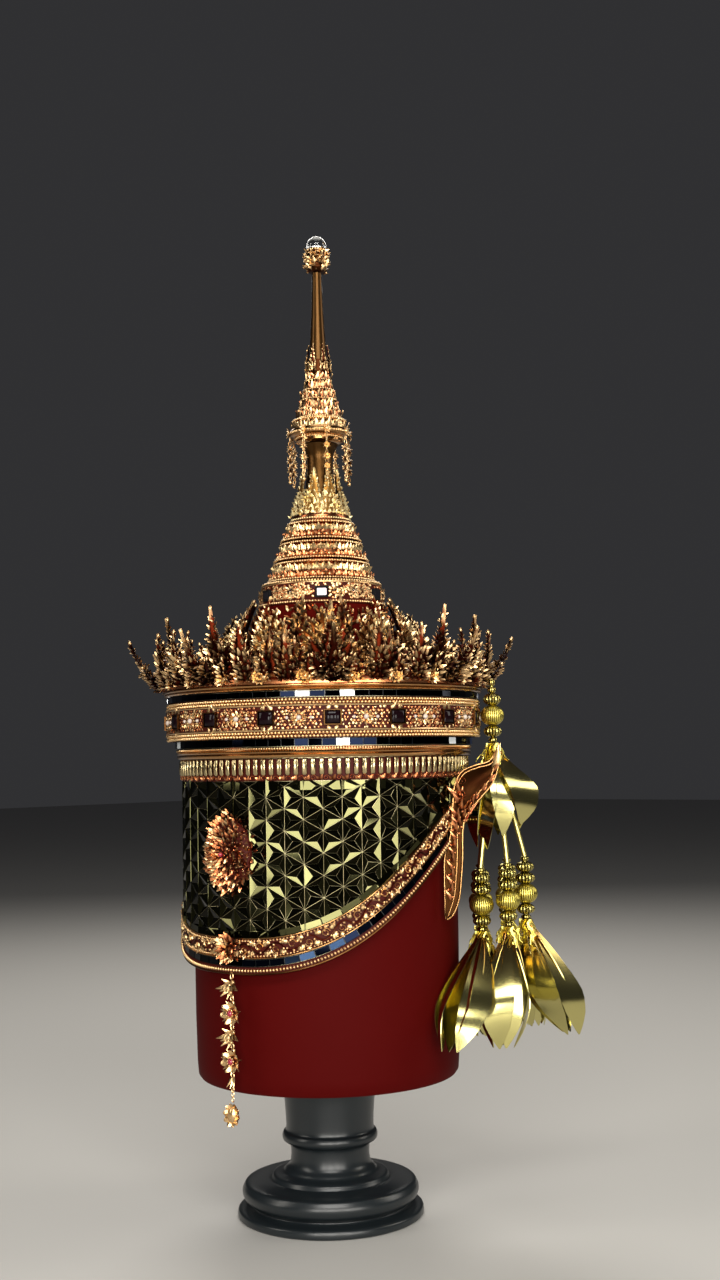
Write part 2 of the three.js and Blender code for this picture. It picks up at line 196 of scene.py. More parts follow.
# a smooth curve through a few stations, sampled evenly (Catmull-Rom)
def smoothed(points, count):
    p = np.asarray(points, float)
    p = np.concatenate([2 * p[:1] - p[1:2], p, 2 * p[-1:] - p[-2:-1]])
    t = np.linspace(0, len(p) - 3 - 1e-9, count)
    i = t.astype(int)
    f = (t - i)[:, None]
    a, b, c, d = p[i], p[i + 1], p[i + 2], p[i + 3]
    return 0.5 * (2 * b + (c - a) * f + (2 * a - 5 * b + 4 * c - d) * f**2 + (3 * b - a - 3 * c + d) * f**3)


# sphere of radius 1 about Z: rings at equal latitudes, cosine for the radius and sine for the height
def ballShape(around, rings, lift=1.0):
    a = np.linspace(-np.pi / 2, np.pi / 2, rings + 2)
    return turnedSolid(np.stack([np.cos(a), np.sin(a)], -1), around, lift)


# one chased leaf, 1 long and 1 wide: a ridged diamond section along a line that curls up at its tip
# stations give the half width at places along it
def leafShape(stations, curl, thick):
    along, half = np.asarray(stations, float).T
    path = np.stack([0 * along, along, curl * along**2], -1)
    slope = unit(np.stack([0 * along, -2 * curl * along, 1 + 0 * along], -1))
    section = [(1, 0), (0, 1), (-1, 0), (0, -0.6)]
    # lift lower at the foot and lowest on the underside, painted shade; highest on the ridge, a painted
    # highlight
    tones = np.outer(0.35 + 0.65 * along, [0.75, 1, 0.75, 0.3])
    return sweep(path, (1, 0, 0), slope, section, half, thick * (0.35 + half), tones)


# spiral scroll in the plane of the band: radius shrinks as it winds, and the tube thins with it
def scrollShape(turns, count=14, thick=0.16):
    t = np.linspace(0, 1, count)
    a = turns * tau * t
    r = 1 - 0.72 * t
    path = np.stack([r * np.cos(a), r * np.sin(a), 0.12 * np.sin(np.pi * t)], -1)
    way = unit(np.gradient(path, axis=0))
    up = np.array([0.0, 0, 1])
    section = [(1, 0), (0.3, 1), (-0.6, 0.6), (-0.6, -0.6), (0.3, -0.6)]
    # lift lowest on the underside of the tube: painted shade
    tones = np.outer(0 * t + 1, [0.6, 1, 0.8, 0.3, 0.3])
    return sweep(path, np.cross(way, up), up, section, thick * (1 - 0.4 * t), 1.3 * thick, tones)


pointedLeaf = leafShape([(0, 0.2), (0.25, 0.5), (0.55, 0.4), (0.85, 0.15), (1, 0.03)], 0.3, 0.26)
flameLeaf = leafShape([(0, 0.25), (0.2, 0.5), (0.45, 0.34), (0.75, 0.16), (1, 0.03)], 0.35, 0.26)
roundLeaf = leafShape([(0, 0.2), (0.3, 0.48), (0.65, 0.48), (0.9, 0.26), (1, 0.08)], 0.35, 0.3)
tinyLeaf = leafShape([(0, 0.25), (0.4, 0.5), (1, 0.06)], 0.4, 0.34)
grain, crumb, bead, pearl = ballShape(6, 3), ballShape(5, 2), ballShape(8, 5), ballShape(16, 9)
scroll = scrollShape(1.35)


# shapes with a finish each go into one mesh in metres, which stands in for a node of the frame
# sharp is the angle past which an edge stays hard; 0 leaves every face flat
def addPiece(name, parts, node, sharp=50):
    finishes = list(dict.fromkeys(m for _, m in parts))
    whole = join([s for s, _ in parts])
    nq, nt = len(whole["q"]), len(whole["t"])
    mesh = bpy.data.meshes.new(name)
    mesh.vertices.add(len(whole["v"]))
    mesh.vertices.foreach_set("co", (whole["v"] * 0.001).ravel())
    mesh.loops.add(nq * 4 + nt * 3)
    mesh.loops.foreach_set("vertex_index", np.concatenate([whole["q"].ravel(), whole["t"].ravel()]))
    mesh.polygons.add(nq + nt)
    starts = np.concatenate([np.arange(nq) * 4, nq * 4 + np.arange(nt) * 3])
    mesh.polygons.foreach_set("loop_start", starts)
    which = [np.full(len(s[kind]), finishes.index(m)) for kind in ("q", "t") for s, m in parts]
    mesh.polygons.foreach_set("material_index", np.concatenate(which).astype(np.int32))
    mesh.update(calc_edges=True)
    lift = mesh.attributes.new("lift", "FLOAT", "POINT")
    lift.data.foreach_set("value", whole["lift"].astype(np.float32))
    if sharp:
        mesh.shade_smooth()
        mesh.set_sharp_from_angle(angle=rad(sharp))
    else:
        mesh.shade_flat()
    for m in finishes:
        mesh.materials.append(m)
    piece = bpy.data.objects.new(name, mesh)
    bpy.context.scene.collection.objects.link(piece)
    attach(piece, "root")
    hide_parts(node)
    print(f"{name}: {nq * 2 + nt} triangles")


# sockets give each named input a value, or the output that feeds it
def feed(tree, node, sockets):
    for key, value in sockets.items():
        if isinstance(value, bpy.types.NodeSocket):
            tree.links.new(value, node.inputs[key])
        else:
            node.inputs[key].default_value = value


# a shader node at a place on the sheet, with its settings and its sockets
def nodeIn(tree, kind, x, y, sockets=None, **settings):
    node = tree.nodes.new(kind)
    node.location = (x, y)
    for key, value in settings.items():
        setattr(node, key, value)
    feed(tree, node, sockets or {})
    return node


lacquerShadeSockets = {
    "INPUT": {"Top": "Color", "Recess": "Color", "Depth": "Float", "Blotch Scale": "Float", "Blotch": "Float",
              "Rough": "Float"},
    "OUTPUT": {"Color": "Color", "Roughness": "Float", "Mask": "Float"},
}


# recess colour and painted shade, shared by the metals: lift plus soft blotches on Object coordinates gives a
# mask, and the mask blends the recess colour into the top colour; the dark recess colour is partly red
# lacquer in the hollows and partly painted shade in recesses, under faces and at feet
def lacquerShadeGroup():
    g = bpy.data.node_groups.new("tarnish", "ShaderNodeTree")
    for side, labels in lacquerShadeSockets.items():
        for label, kind in labels.items():
            g.interface.new_socket(label, in_out=side, socket_type="NodeSocket" + kind)
    given = nodeIn(g, "NodeGroupInput", -900, 0).outputs
    place = nodeIn(g, "ShaderNodeTexCoord", -900, -300).outputs["Object"]
    noise = nodeIn(g, "ShaderNodeTexNoise", -650, -300,
                   {"Vector": place, "Scale": given["Blotch Scale"], "Detail": 3}).outputs["Fac"]
    lift = nodeIn(g, "ShaderNodeAttribute", -650, 200, attribute_name="lift").outputs["Fac"]
    sway = nodeIn(g, "ShaderNodeMath", -450, -300, {0: noise, 1: 0.5}, operation="SUBTRACT").outputs[0]
    spread = nodeIn(g, "ShaderNodeMath", -250, -300, {0: sway, 1: given["Blotch"]},
                    operation="MULTIPLY").outputs[0]
    height = nodeIn(g, "ShaderNodeMath", -250, 150, {0: lift, 1: spread}, operation="ADD").outputs[0]
    mask = nodeIn(g, "ShaderNodeMapRange", -50, 150,
                  {"Value": height, "From Min": 0.2, "From Max": given["Depth"]},
                  interpolation_type="SMOOTHSTEP").outputs["Result"]
    color = nodeIn(g, "ShaderNodeMix", 250, 150, {"Factor": mask, "A": given["Recess"], "B": given["Top"]},
                   data_type="RGBA").outputs["Result"]
    rough = nodeIn(g, "ShaderNodeMath", 250, -150, {0: spread, 1: -0.25, 2: given["Rough"]},
                   operation="MULTIPLY_ADD").outputs[0]
    nodeIn(g, "NodeGroupOutput", 700, 0, {"Color": color, "Roughness": rough, "Mask": mask})
    return g


tarnish = lacquerShadeGroup()


# one colour, roughness and metal share all over, and values for other sockets
def plainFinish(name, color, rough, metal=0.0, sockets=None):
    m = bpy.data.materials.new(name)
    m.use_nodes = True
    shader = m.node_tree.nodes["Principled BSDF"]
    feed(m.node_tree, shader, {"Base Color": (*color, 1), "Roughness": rough, "Metallic": metal})
    feed(m.node_tree, shader, sockets or {})
    return m


# a metal whose recesses take a dark colour, partly red lacquer and partly painted shade: the shared group
# feeds colour and roughness, and its mask the coat
def lacquerShadedMetal(name, top, recess, depth, scale, blotch, rough, coat):
    m = plainFinish(name, top, rough, 1.0, {"Coat Roughness": 0.1})
    t = m.node_tree
    look = {"Top": (*top, 1), "Recess": (*recess, 1), "Depth": depth, "Blotch Scale": scale, "Blotch": blotch,
            "Rough": rough}
    shadedLook = nodeIn(t, "ShaderNodeGroup", -300, 200, look, node_tree=tarnish).outputs
    sheen = nodeIn(t, "ShaderNodeMath", -120, -100, {0: shadedLook["Mask"], 1: coat}, operation="MULTIPLY")
    feed(t, t.nodes["Principled BSDF"],
         {"Base Color": shadedLook["Color"], "Roughness": shadedLook["Roughness"], "Coat Weight": sheen.outputs[0]})
    return m


# top colour, recess colour (red lacquer and painted shade), mask depth, blotch scale, blotch, roughness, coat
metalLooks = {
    "gilt": ((0.80, 0.525, 0.25), (0.042, 0.005, 0.0015), 0.6, 60, 0.8, 0.3, 0.3),
    "redGilt": ((0.62, 0.235, 0.09), (0.10, 0.009, 0.003), 0.7, 50, 0.9, 0.26, 0.3),
    "polished": ((0.44, 0.23, 0.085), (0.12, 0.016, 0.004), 0.5, 25, 0.5, 0.17, 0.2),
    "bronze": ((0.075, 0.035, 0.010), (0.035, 0.010, 0.003), 0.5, 25, 0.3, 0.34, 0.03),
    "plate": ((0.46, 0.36, 0.19), (0.05, 0.008, 0.003), 0.6, 70, 0.6, 0.26, 0.0),
    # paleGilt is gilt with a lighter recess: a painted highlight where whole upper rows take it
    "paleGilt": ((0.80, 0.565, 0.275), (0.12, 0.032, 0.006), 0.55, 80, 0.7, 0.3, 0.2),
    "fineGilt": ((0.82, 0.66, 0.34), (0.34, 0.17, 0.04), 0.5, 80, 0.5, 0.4, 0.1),
    "bead": ((0.62, 0.52, 0.16), (0.05, 0.04, 0.008), 0.8, 150, 0.3, 0.2, 0.1),
    "wound": ((0.84, 0.72, 0.16), (0.16, 0.10, 0.012), 0.7, 200, 0.3, 0.32, 0.0),
    "sheet": ((0.030, 0.011, 0.003), (0.012, 0.003, 0.001), 0.6, 45, 0.9, 0.3, 0.0),
}
(gilt, redGilt, polishedGold, bronze, plateGold, paleGilt, fineGilt, beadGold, woundGold, earSheet) = (
    lacquerShadedMetal(name, *look) for name, look in metalLooks.items())
darkMirror = plainFinish("darkMirror", (0.058, 0.056, 0.024), 0.05, 1.0)
# a much darker copy of the dark mirror for the mosaic facets that face down: painted shade
smokedMirror = plainFinish("smokedMirror", (0.009, 0.008, 0.004), 0.05, 1.0)
blueMirror = plainFinish("blueMirror", (0.002, 0.003, 0.007), 0.05, 1.0)
paleMirror = plainFinish("paleMirror", (0.78, 0.83, 0.86), 0.12, 0.25)
skyMirror = plainFinish("skyMirror", (0.07, 0.13, 0.27), 0.08, 1.0)
roseMirror = plainFinish("roseMirror", (0.5, 0.42, 0.45), 0.03, 1.0)
groutGold = plainFinish("groutGold", (0.46, 0.40, 0.23), 0.42, 1.0)
foilRod = plainFinish("foilRod", (0.66, 0.58, 0.20), 0.3, 1.0)
redLacquer = plainFinish("redLacquer", (0.06, 0.003, 0.002), 0.6, 0.0, {"Specular IOR Level": 0.0})
groundRed = plainFinish("groundRed", (0.05, 0.006, 0.003), 0.5, 0.0, {"Specular IOR Level": 0.1})
darkStone = plainFinish("darkStone", (0.006, 0.002, 0.003), 0.05, 0.0, {"Specular IOR Level": 0.12})
roseStone = plainFinish("roseStone", (0.30, 0.012, 0.035), 0.08, 0.0, {"Coat Weight": 0.6})
pearlWhite = plainFinish("pearlWhite", (0.52, 0.44, 0.38), 0.3)
clearCrystal = plainFinish("clearCrystal", (0.95, 0.97, 0.97), 0.02, 0.0,
                           {"Transmission Weight": 1.0, "IOR": 1.52})
matteBlack = plainFinish("matteBlack", (0.006, 0.006, 0.007), 0.7, 0.0, {"Specular IOR Level": 0.1})
blackLacquer = plainFinish("blackLacquer", (0.008, 0.011, 0.013), 0.3)


# satin paint on the drum: a faint mottling of colour and a fine tooth
def drumPaint():
    m = plainFinish("redPaint", (0.055, 0.0015, 0.0014), 0.6, 0.0, {"Specular IOR Level": 0.03})
    t = m.node_tree
    place = nodeIn(t, "ShaderNodeTexCoord", -900, 0).outputs["Object"]
    cloud = nodeIn(t, "ShaderNodeTexNoise", -700, 0, {"Vector": place, "Scale": 14, "Detail": 6})
    noise = cloud.outputs["Fac"]
    shades = {"Factor": noise, "A": (0.050, 0.0012, 0.001, 1), "B": (0.066, 0.002, 0.0018, 1)}
    color = nodeIn(t, "ShaderNodeMix", -350, 0, shades, data_type="RGBA").outputs["Result"]
    tooth = nodeIn(t, "ShaderNodeTexNoise", -700, -300, {"Vector": place, "Scale": 900}).outputs["Fac"]
    relief = {"Height": tooth, "Strength": 0.12, "Distance": 0.0004}
    bump = nodeIn(t, "ShaderNodeBump", -350, -300, relief).outputs["Normal"]
    feed(t, t.nodes["Principled BSDF"], {"Base Color": color, "Normal": bump})
    return m


# brushed foil: lift runs from 0 to 1 along each petal, after the petal's own number
# it draws fine lines across the petal, and its fraction turns the colour to copper near the neck
def foilFinish():
    m = plainFinish("foil", (0.70, 0.63, 0.26), 0.14, 1.0)
    t = m.node_tree
    along = nodeIn(t, "ShaderNodeAttribute", -1100, 0, attribute_name="lift").outputs["Fac"]
    finer = nodeIn(t, "ShaderNodeMath", -900, 0, {0: along, 1: 220}, operation="MULTIPLY").outputs["Value"]
    lines = nodeIn(t, "ShaderNodeTexNoise", -700, 0, {"W": finer, "Scale": 1, "Detail": 3},
                   noise_dimensions="1D").outputs["Fac"]
    shades = {"Factor": lines, "A": (0.55, 0.49, 0.18, 1), "B": (0.67, 0.61, 0.25, 1)}
    brushed = nodeIn(t, "ShaderNodeMix", -350, 100, shades, data_type="RGBA").outputs["Result"]
    share = nodeIn(t, "ShaderNodeMath", -900, 300, {0: along}, operation="FRACT").outputs["Value"]
    fade = nodeIn(t, "ShaderNodeMapRange", -700, 300, {"Value": share, "From Min": 0.12, "From Max": 0.5})
    tints = {"Factor": fade.outputs["Result"], "A": (0.40, 0.22, 0.06, 1), "B": brushed}
    color = nodeIn(t, "ShaderNodeMix", -150, 250, tints, data_type="RGBA").outputs["Result"]
    rough = nodeIn(t, "ShaderNodeMapRange", -350, -150, {"Value": lines, "To Min": 0.09, "To Max": 0.2})
    feed(t, t.nodes["Principled BSDF"], {"Base Color": color, "Roughness": rough.outputs["Result"]})
    return m


redPaint = drumPaint()
foil = foilFinish()
print("finishes made")

# stand: a turned foot, its profile smoothed, and the drum that fills the cap
stand = {
    "foot": [(0, 0), (58.5, 0), (60, 1), (60, 4), (58.6, 5.6), (52.4, 7), (51.4, 8.4), (53.4, 9.6), (56, 12),
             (57.2, 16), (56, 19.6), (53, 22), (40, 23), (38, 24.2), (36.6, 26.4), (31, 27.6), (29, 29.6),
             (26.4, 32.6), (25.4, 38), (25.8, 44), (27.4, 46), (30.2, 47.4), (31, 50), (30.2, 52.6),
             (28.6, 54.4), (28.6, 62), (30, 78), (33, 88.4), (34, 89.7), (0, 89.7)],
    "drum": [(0, 90), (80, 90), (83.2, 90.6), (84.6, 92.6), (85.2, 100), (86, 130), (86.5, 180), (86.5, 250),
             (86.5, 325), (84.6, 331.5), (80, 338), (73, 342), (65, 344.2), (0, 344.2)],
}
foot = stand["foot"]
footCurve = np.concatenate([foot[:1], smoothed(foot[1:-1], 110), foot[-1:]])
addPiece("turnedFoot", [(turnedSolid(footCurve, 128), blackLacquer)], "stand_pedestal")
addPiece("drum", [(turnedSolid(stand["drum"], 160), redPaint)], "stand_block", 40)

# lower edge of the cap: low at the nape, rising past the ears, level over the forehead
edge = {"back": 164.0, "front": 250.0, "level": rad(118)}
wallR = 92.0


# height of the edge: a squared sine of the share of the way from the nape to where it runs level
def edgeZ(psi):
    share = np.minimum(1, np.abs((psi + np.pi) % tau - np.pi) / edge["level"])
    return edge["back"] + (edge["front"] - edge["back"]) * np.sin(np.pi / 2 * share**1.5) ** 2


# rise over run between two near angles
def edgeSlope(psi, step=0.01):
    return (edgeZ(psi + step) - edgeZ(psi - step)) / (2 * step * wallR)


# trims on the slope keep part of their width square to the edge
def edgeStretch(psi):
    return (1 + edgeSlope(psi) ** 2) ** 0.25


# flat trim coordinates to the crown: angle, height above the edge, height off the wall
def onEdge(psi, t, h):
    return polar(wallR + h, psi, edgeZ(psi) + t * edgeStretch(psi))


# equal steps along the edge's own length, as angles, and the length of a step
def stepsAlongEdge(pitch, t=0.0):
    psi = np.linspace(-np.pi, np.pi, 4001)
    v = onEdge(psi, t, 0.0)
    run = np.concatenate([[0], np.cumsum(np.linalg.norm(np.diff(v, axis=0), axis=1))])
    count = int(round(run[-1] / pitch))
    return np.interp((np.arange(count) + 0.5) / count * run[-1], run, psi), run[-1] / count


# directions along the edge, off the wall, and across the trim
def edgeAxes(psi):
    along, out, up = ringAxes(psi)
    way = unit(along + up * edgeSlope(psi)[..., None])
    return way, out, np.cross(out, way)


# band along the edge: a closed section of height above the edge and height off the wall, carried round
def edgeBand(section, count=288, lift=1.0):
    s = np.asarray(section, float)
    v = onEdge(evenly(count)[:, None], s[None, :, 0], s[None, :, 1])
    return shape(v, gridQuads(count, len(s), True, True), lift=toneGrid(lift, count, len(s)))


# wall: a thin shell with its lower rim on the edge; the inside of the flare steps out 1 mm higher
wall = {"thick": 2.4, "bottom": 0.6, "sides": 240, "insideStep": 1.0,
        "flare": [(92, 296), (94, 300), (94, 304), (100.2, 308), (100.2, 338)]}
flare = np.array(wall["flare"], float)
inside = flare[::-1] - (wall["thick"], 0)
inside[-4:, 1] += wall["insideStep"]
psi = evenly(wall["sides"])
lowOut, lowIn = (polar(r, psi, edgeZ(psi) + wall["bottom"]) for r in (wallR, wallR - wall["thick"]))
loop = np.concatenate([flare, inside])
upper = polar(loop[None, :, 0], psi[:, None], loop[None, :, 1])
v = np.concatenate([lowOut[:, None], upper, lowIn[:, None]], 1)
shell = shape(v, gridQuads(wall["sides"], v.shape[1], True, True))

# mosaic: columns of triangles with upright edges, each a hollow of three mirror facets dipped at its middle
# rise, dip and foot are heights off the wall; a mirror stands proud of its facet and leans by chance
mosaic = {"columns": 50, "phase": rad(-2.0), "low": 150.0, "rows": 22, "aboveEdge": 17, "top": 279,
          "rise": 1.7, "dip": 0.1, "foot": -0.2, "wander": 0.6, "inset": 0.94, "proud": 0.3, "sunk": 0.05,
          "lean": 0.12, "mostLean": 0.2, "turnedDown": -0.1}
rng = np.random.default_rng(11)
columnAngle = tau / mosaic["columns"]
side = wallR * columnAngle * 2 / math.sqrt(3)


# columns and heights to the wall, at a height off it
def onMosaic(column, z, off):
    return polar(wallR + off, column * columnAngle + mosaic["phase"], z)


c, k = np.meshgrid(np.arange(mosaic["columns"]), np.arange(2 * mosaic["rows"]), indexing="ij")
c, k = c.ravel(), k.ravel()
low = k * side / 2 + mosaic["low"]
odd = (k + c) % 2 == 1  # every other triangle points the other way
tipSide = np.where(odd, 1, 0)
baseSide = 1 - tipSide
tip, baseHigh, baseLow = (np.stack(p, -1) for p in (
    (c + tipSide, low + side / 2), (c + baseSide, low + side), (c + baseSide, low)))
tri = np.stack([tip, baseHigh, baseLow], 1).astype(float)
tri = np.where(odd[:, None, None], tri, tri[:, [0, 2, 1]])
middle = tri.mean(1)
edgeBelow = edgeZ(middle[:, 0] * columnAngle + mosaic["phase"])
keep = (middle[:, 1] > edgeBelow + mosaic["aboveEdge"]) & (middle[:, 1] < mosaic["top"])
tri, middle = tri[keep], middle[keep]
heart = middle + rng.normal(0, mosaic["wander"], middle.shape) * [1 / side, 1]
corners, feet = (onMosaic(tri[..., 0], tri[..., 1], mosaic[off]) for off in ("rise", "foot"))
dips = onMosaic(heart[:, 0], heart[:, 1], mosaic["dip"])[:, None]
facing = np.cross(corners[:, 1] - corners[:, 0], corners[:, 2] - corners[:, 0])
order = [0, 1, 2] if (facing * corners.mean(1)).sum(1).mean() > 0 else [0, 2, 1]  # corners that face outwards
corners, feet = corners[:, order], feet[:, order]
blockQuads = [[0, 4, 5, 1], [1, 5, 6, 2], [2, 6, 4, 0]]
blockTris = [[0, 1, 3], [1, 2, 3], [2, 0, 3], [4, 6, 5]]
lattice = shape(np.concatenate([corners, dips, feet], 1), repeated(blockQuads, 7, len(corners)),
                repeated(blockTris, 7, len(corners)))
facet = [np.stack([corners[:, e], corners[:, (e + 1) % 3], dips[:, 0]], 1) for e in range(3)]
facet = np.stack(facet, 1).reshape(-1, 3, 3)
centre = facet.mean(1, keepdims=True)
normal = unit(np.cross(facet[:, 1] - facet[:, 0], facet[:, 2] - facet[:, 0]))[:, None]
facet = centre + (facet - centre) * mosaic["inset"]
lean = rng.normal(0, mosaic["lean"], (len(facet), 3, 1)).clip(-mosaic["mostLean"], mosaic["mostLean"])
facetEnds = np.concatenate([facet + normal * (mosaic["proud"] + lean), facet - normal * mosaic["sunk"]], 1)
# facets that face down take the darker mirror: painted shade in place of the floor they would reflect
turnedDown = normal[:, 0, 2] < mosaic["turnedDown"]


# mirrors as three-sided blocks between their top and bottom corners
def facetBlocks(which):
    ends = facetEnds[which]
    return shape(ends, repeated([[0, 3, 4, 1], [1, 4, 5, 2], [2, 5, 3, 0]], 6, len(ends)),
                 repeated([[0, 1, 2], [3, 5, 4]], 6, len(ends)))


tileBlock = shape([(x, y, z) for z in (0, 1) for y in (-1, 1) for x in (-1, 1)],
                  [(0, 2, 3, 1), (4, 5, 7, 6), (0, 1, 5, 4), (1, 3, 7, 5), (3, 2, 6, 7), (2, 0, 4, 6)])


# small mirror tiles: low blocks at their places, each face tilted a little by chance off its outward way
def tiles(places, along, out, up, halfLength, halfHeight, depth, tilt):
    n = len(places)
    lean = rng.normal(0, tilt, (n, 2))
    face = unit(out + along * lean[:, :1] + up * lean[:, 1:])
    side = unit(along - face * (along * face).sum(-1, keepdims=True))
    size = np.stack(np.broadcast_arrays(halfLength, halfHeight, np.full(n, depth)), -1)
    return copies(tileBlock, axesOf(side, np.cross(face, side), face, size), places)


# some of a row of tiles, by a mask
def pick(row, which):
    points = len(tileBlock["v"])
    return shape(row["v"].reshape(-1, points, 3)[which], repeated(tileBlock["q"], points, which.sum()))


# gold mirror tiles: a row under the bands, and one that follows the top of the edge trim
goldTiles = {"count": 44, "z": 277.2, "half": (6.4, 2.6), "depth": 1.3, "tilt": 0.06,
             "edgeStep": 13.0, "edgeRun": 23.0, "edgeAt": 23.6, "edgeGap": 0.25,
             "edgeHalf": 1.9, "edgeDepth": 1.9}
psi = evenly(goldTiles["count"], 0.5)
topTiles = tiles(polar(wallR, psi, goldTiles["z"]), *ringAxes(psi), *goldTiles["half"], goldTiles["depth"],
                 goldTiles["tilt"])
psi, pitch = stepsAlongEdge(goldTiles["edgeStep"], goldTiles["edgeRun"])
trimTiles = tiles(onEdge(psi, goldTiles["edgeAt"], 0), *edgeAxes(psi), pitch / 2 - goldTiles["edgeGap"],
                  goldTiles["edgeHalf"], goldTiles["edgeDepth"], goldTiles["tilt"])
mosaicParts = [(join([shell, lattice]), groutGold), (facetBlocks(~turnedDown), darkMirror),
               (facetBlocks(turnedDown), smokedMirror), (topTiles, darkMirror), (trimTiles, darkMirror)]
addPiece("mosaicWall", mosaicParts, "cap_wall", 0)


# ornament on a face: x runs along, y up the face, z off it
# spin turns a copy in the face, pitch raises its tip, and size is across, along and off the face
def oriented(along, faceUp, faceOut, size, spin, pitch):
    cs, ss = np.cos(spin)[..., None], np.sin(spin)[..., None]
    cp, sp = np.cos(pitch)[..., None], np.sin(pitch)[..., None]
    x, y = along * cs + faceUp * ss, faceUp * cs - along * ss
    return axesOf(x, y * cp + faceOut * sp, faceOut * cp - y * sp, size)


# ornament on a ring, at angle, radius and height; lean tips the face back towards the axis
def seated(s, psi, r, z, size, spin=0.0, lean=0.0, pitch=0.0):
    psi, r, z, spin, lean, pitch = np.broadcast_arrays(np.asarray(psi, float), r, z, spin, lean, pitch)
    along, out, up = ringAxes(psi)
    cl, sl = np.cos(lean)[..., None], np.sin(lean)[..., None]
    turns = oriented(along, up * cl - out * sl, out * cl + up * sl, size, spin, pitch)
    return copies(s, turns, polar(r, psi, z))


# flowers on a ring: leaves fanned about each point, with their roots off its centre
def rosettes(s, psi, r, z, petals, size, rootR, phase=0.0, pitch=0.0, tall=1.0):
    psi = np.atleast_1d(np.asarray(psi, float))
    spin = np.tile(evenly(petals, phase), len(psi))
    psiAt = np.repeat(psi, petals) - rootR * np.sin(spin) / r
    return seated(s, psiAt, r, z + rootR * tall * np.cos(spin), size, spin, pitch=pitch)


# a round wire bent to a ring
def rope(r, z, tube, sides=8):
    return turnedRing(circle(sides) * tube + [r, z], 240)


# band of upright ribbed plates, on a ground ring with a row of small scrolls and leaves under it
plates = {
    "count": 114, "half": 1.6, "low": 283.6, "high": 293.9, "r": 94.0, "thick": 1.5, "scrolls": 76,
    "ribs": [(1, -0.5), (1, 0.2), (0.85, 0.8), (0.55, 1.0), (0.2, 0.86), (-0.2, 0.86), (-0.55, 1.0),
             (-0.85, 0.8), (-1, 0.2), (-1, -0.5)],
    # ribTones: lift low on the plate's sides and feet, high on its crests: painted shade and painted
    # highlight
    "ribTones": [0, 0.3, 0.9, 1, 0.9, 0.9, 1, 0.9, 0.3, 0],
    "along": [0, 0.1, 0.5, 0.9, 1.0], "wide": [0.72, 1, 1, 1, 0.72], "deep": [0.4, 1, 1.1, 1, 0.4],
    "ground": [(92.2, 280.2), (93.6, 280.2), (94.2, 282.2), (93.9, 284.4), (93.9, 293.6), (92.2, 293.6)],
}
y = np.array(plates["along"])
plate = sweep(np.stack([0 * y, y, 0 * y], -1), (1, 0, 0), (0, 0, 1), plates["ribs"], plates["wide"],
              plates["deep"], np.outer(0 * y + 1, plates["ribTones"]))
plateSize = (plates["half"], plates["high"] - plates["low"], plates["thick"])
plateRow = seated(plate, evenly(plates["count"]), plates["r"], plates["low"], plateSize)
scrollPsi, besidePsi = evenly(plates["scrolls"]), evenly(plates["scrolls"], 0.5)
underScroll = [
    seated(scroll, scrollPsi, 94.2, 282.0, (1.7, 1.4, 2.2), 0.4),
    seated(pointedLeaf, besidePsi, 94.2, 280.6, (2.6, 3.6, 2.4), -0.5),
    seated(pointedLeaf, besidePsi, 94.2, 280.8, (2.2, 3.0, 2.2), 0.9),
]
plateParts = [(turnedRing(plates["ground"], 240, 0.1), groundRed), (plateRow, plateGold),
              (join(underScroll), redGilt)]
addPiece("plateBand", plateParts, "gadroon_band", 40)

# moulding with a row of small beads
moulding = {
    "line": [(94.5, 294.2), (96.4, 294.2), (97.0, 294.8), (97.2, 295.6), (96.8, 296.3), (96.4, 296.6),
             (97.0, 296.9), (97.4, 297.6), (97.0, 298.3), (96.2, 298.7), (96.0, 300.6), (94.5, 300.6)],
    # tones: lift low in the grooves and high on the rounds: painted shade
    "tones": [0.2, 0.6, 1, 1, 0.6, 0.2, 0.7, 1, 1, 0.5, 0.1, 0.1],
    "beads": 360, "beadSize": (0.72, 0.8, 0.95),
}
mouldBeads = seated(grain, evenly(moulding["beads"]), 96.7, 299.7, moulding["beadSize"])
mouldRing = turnedRing(moulding["line"], 240, moulding["tones"])
mouldParts = [(mouldRing, polishedGold), (mouldBeads, gilt)]
addPiece("beadedMoulding", mouldParts, "beaded_moulding", 40)


# strip of mirror tiles on a dark ring; the tiles nearest to the pale angles, in degrees, are pale: painted
# reflections of the lights
def mirrorStrip(name, node, r, low, high, count, pale):
    psi = evenly(count)
    row = tiles(polar(r - 0.5, psi, (low + high) / 2), *ringAxes(psi), np.pi * r / count - 0.22,
                (high - low) / 2 - 0.1, 0.7, 0.035)
    isPale = np.isin(np.arange(count), np.round(np.asarray(pale) / 360 * count).astype(int) % count)
    back = turnedRing([(r - 2.3, low), (r - 0.3, low), (r - 0.3, high), (r - 2.3, high)], 240)
    parts = [(back, blackLacquer), (pick(row, ~isPale), blueMirror), (pick(row, isPale), paleMirror)]
    addPiece(name, parts, node, 0)


strips = {
    "lowerMirrors": dict(node="lower_mirror_strip", r=98.2, low=301.1, high=305.4, count=74,
                         pale=[48.5, 98, 140, 195, 262, 300, 333]),
    "upperMirrors": dict(node="upper_mirror_strip", r=103.0, low=330.5, high=334.0, count=72,
                         pale=[35, 52.5, 120, 170, 214, 270, 318]),
}
for name, strip in strips.items():
    mirrorStrip(name, **strip)

cornice = {
    "line": [(100.6, 334.3), (103.2, 334.3), (104.6, 334.7), (105.2, 335.3), (104.9, 335.9), (104.4, 336.2),
             (105.4, 336.5), (105.9, 337.1), (105.9, 337.6), (105.4, 338.1), (100.6, 338.1)],
    # tones: lift low in the grooves and at the back, high on the rolls: painted shade
    "tones": [0.1, 0.2, 0.8, 1, 0.6, 0.3, 0.9, 1, 1, 1, 0.2],
}
corniceRing = turnedRing(cornice["line"], 240, cornice["tones"])
addPiece("cornice", [(corniceRing, polishedGold)], "cornice_ring", 40)

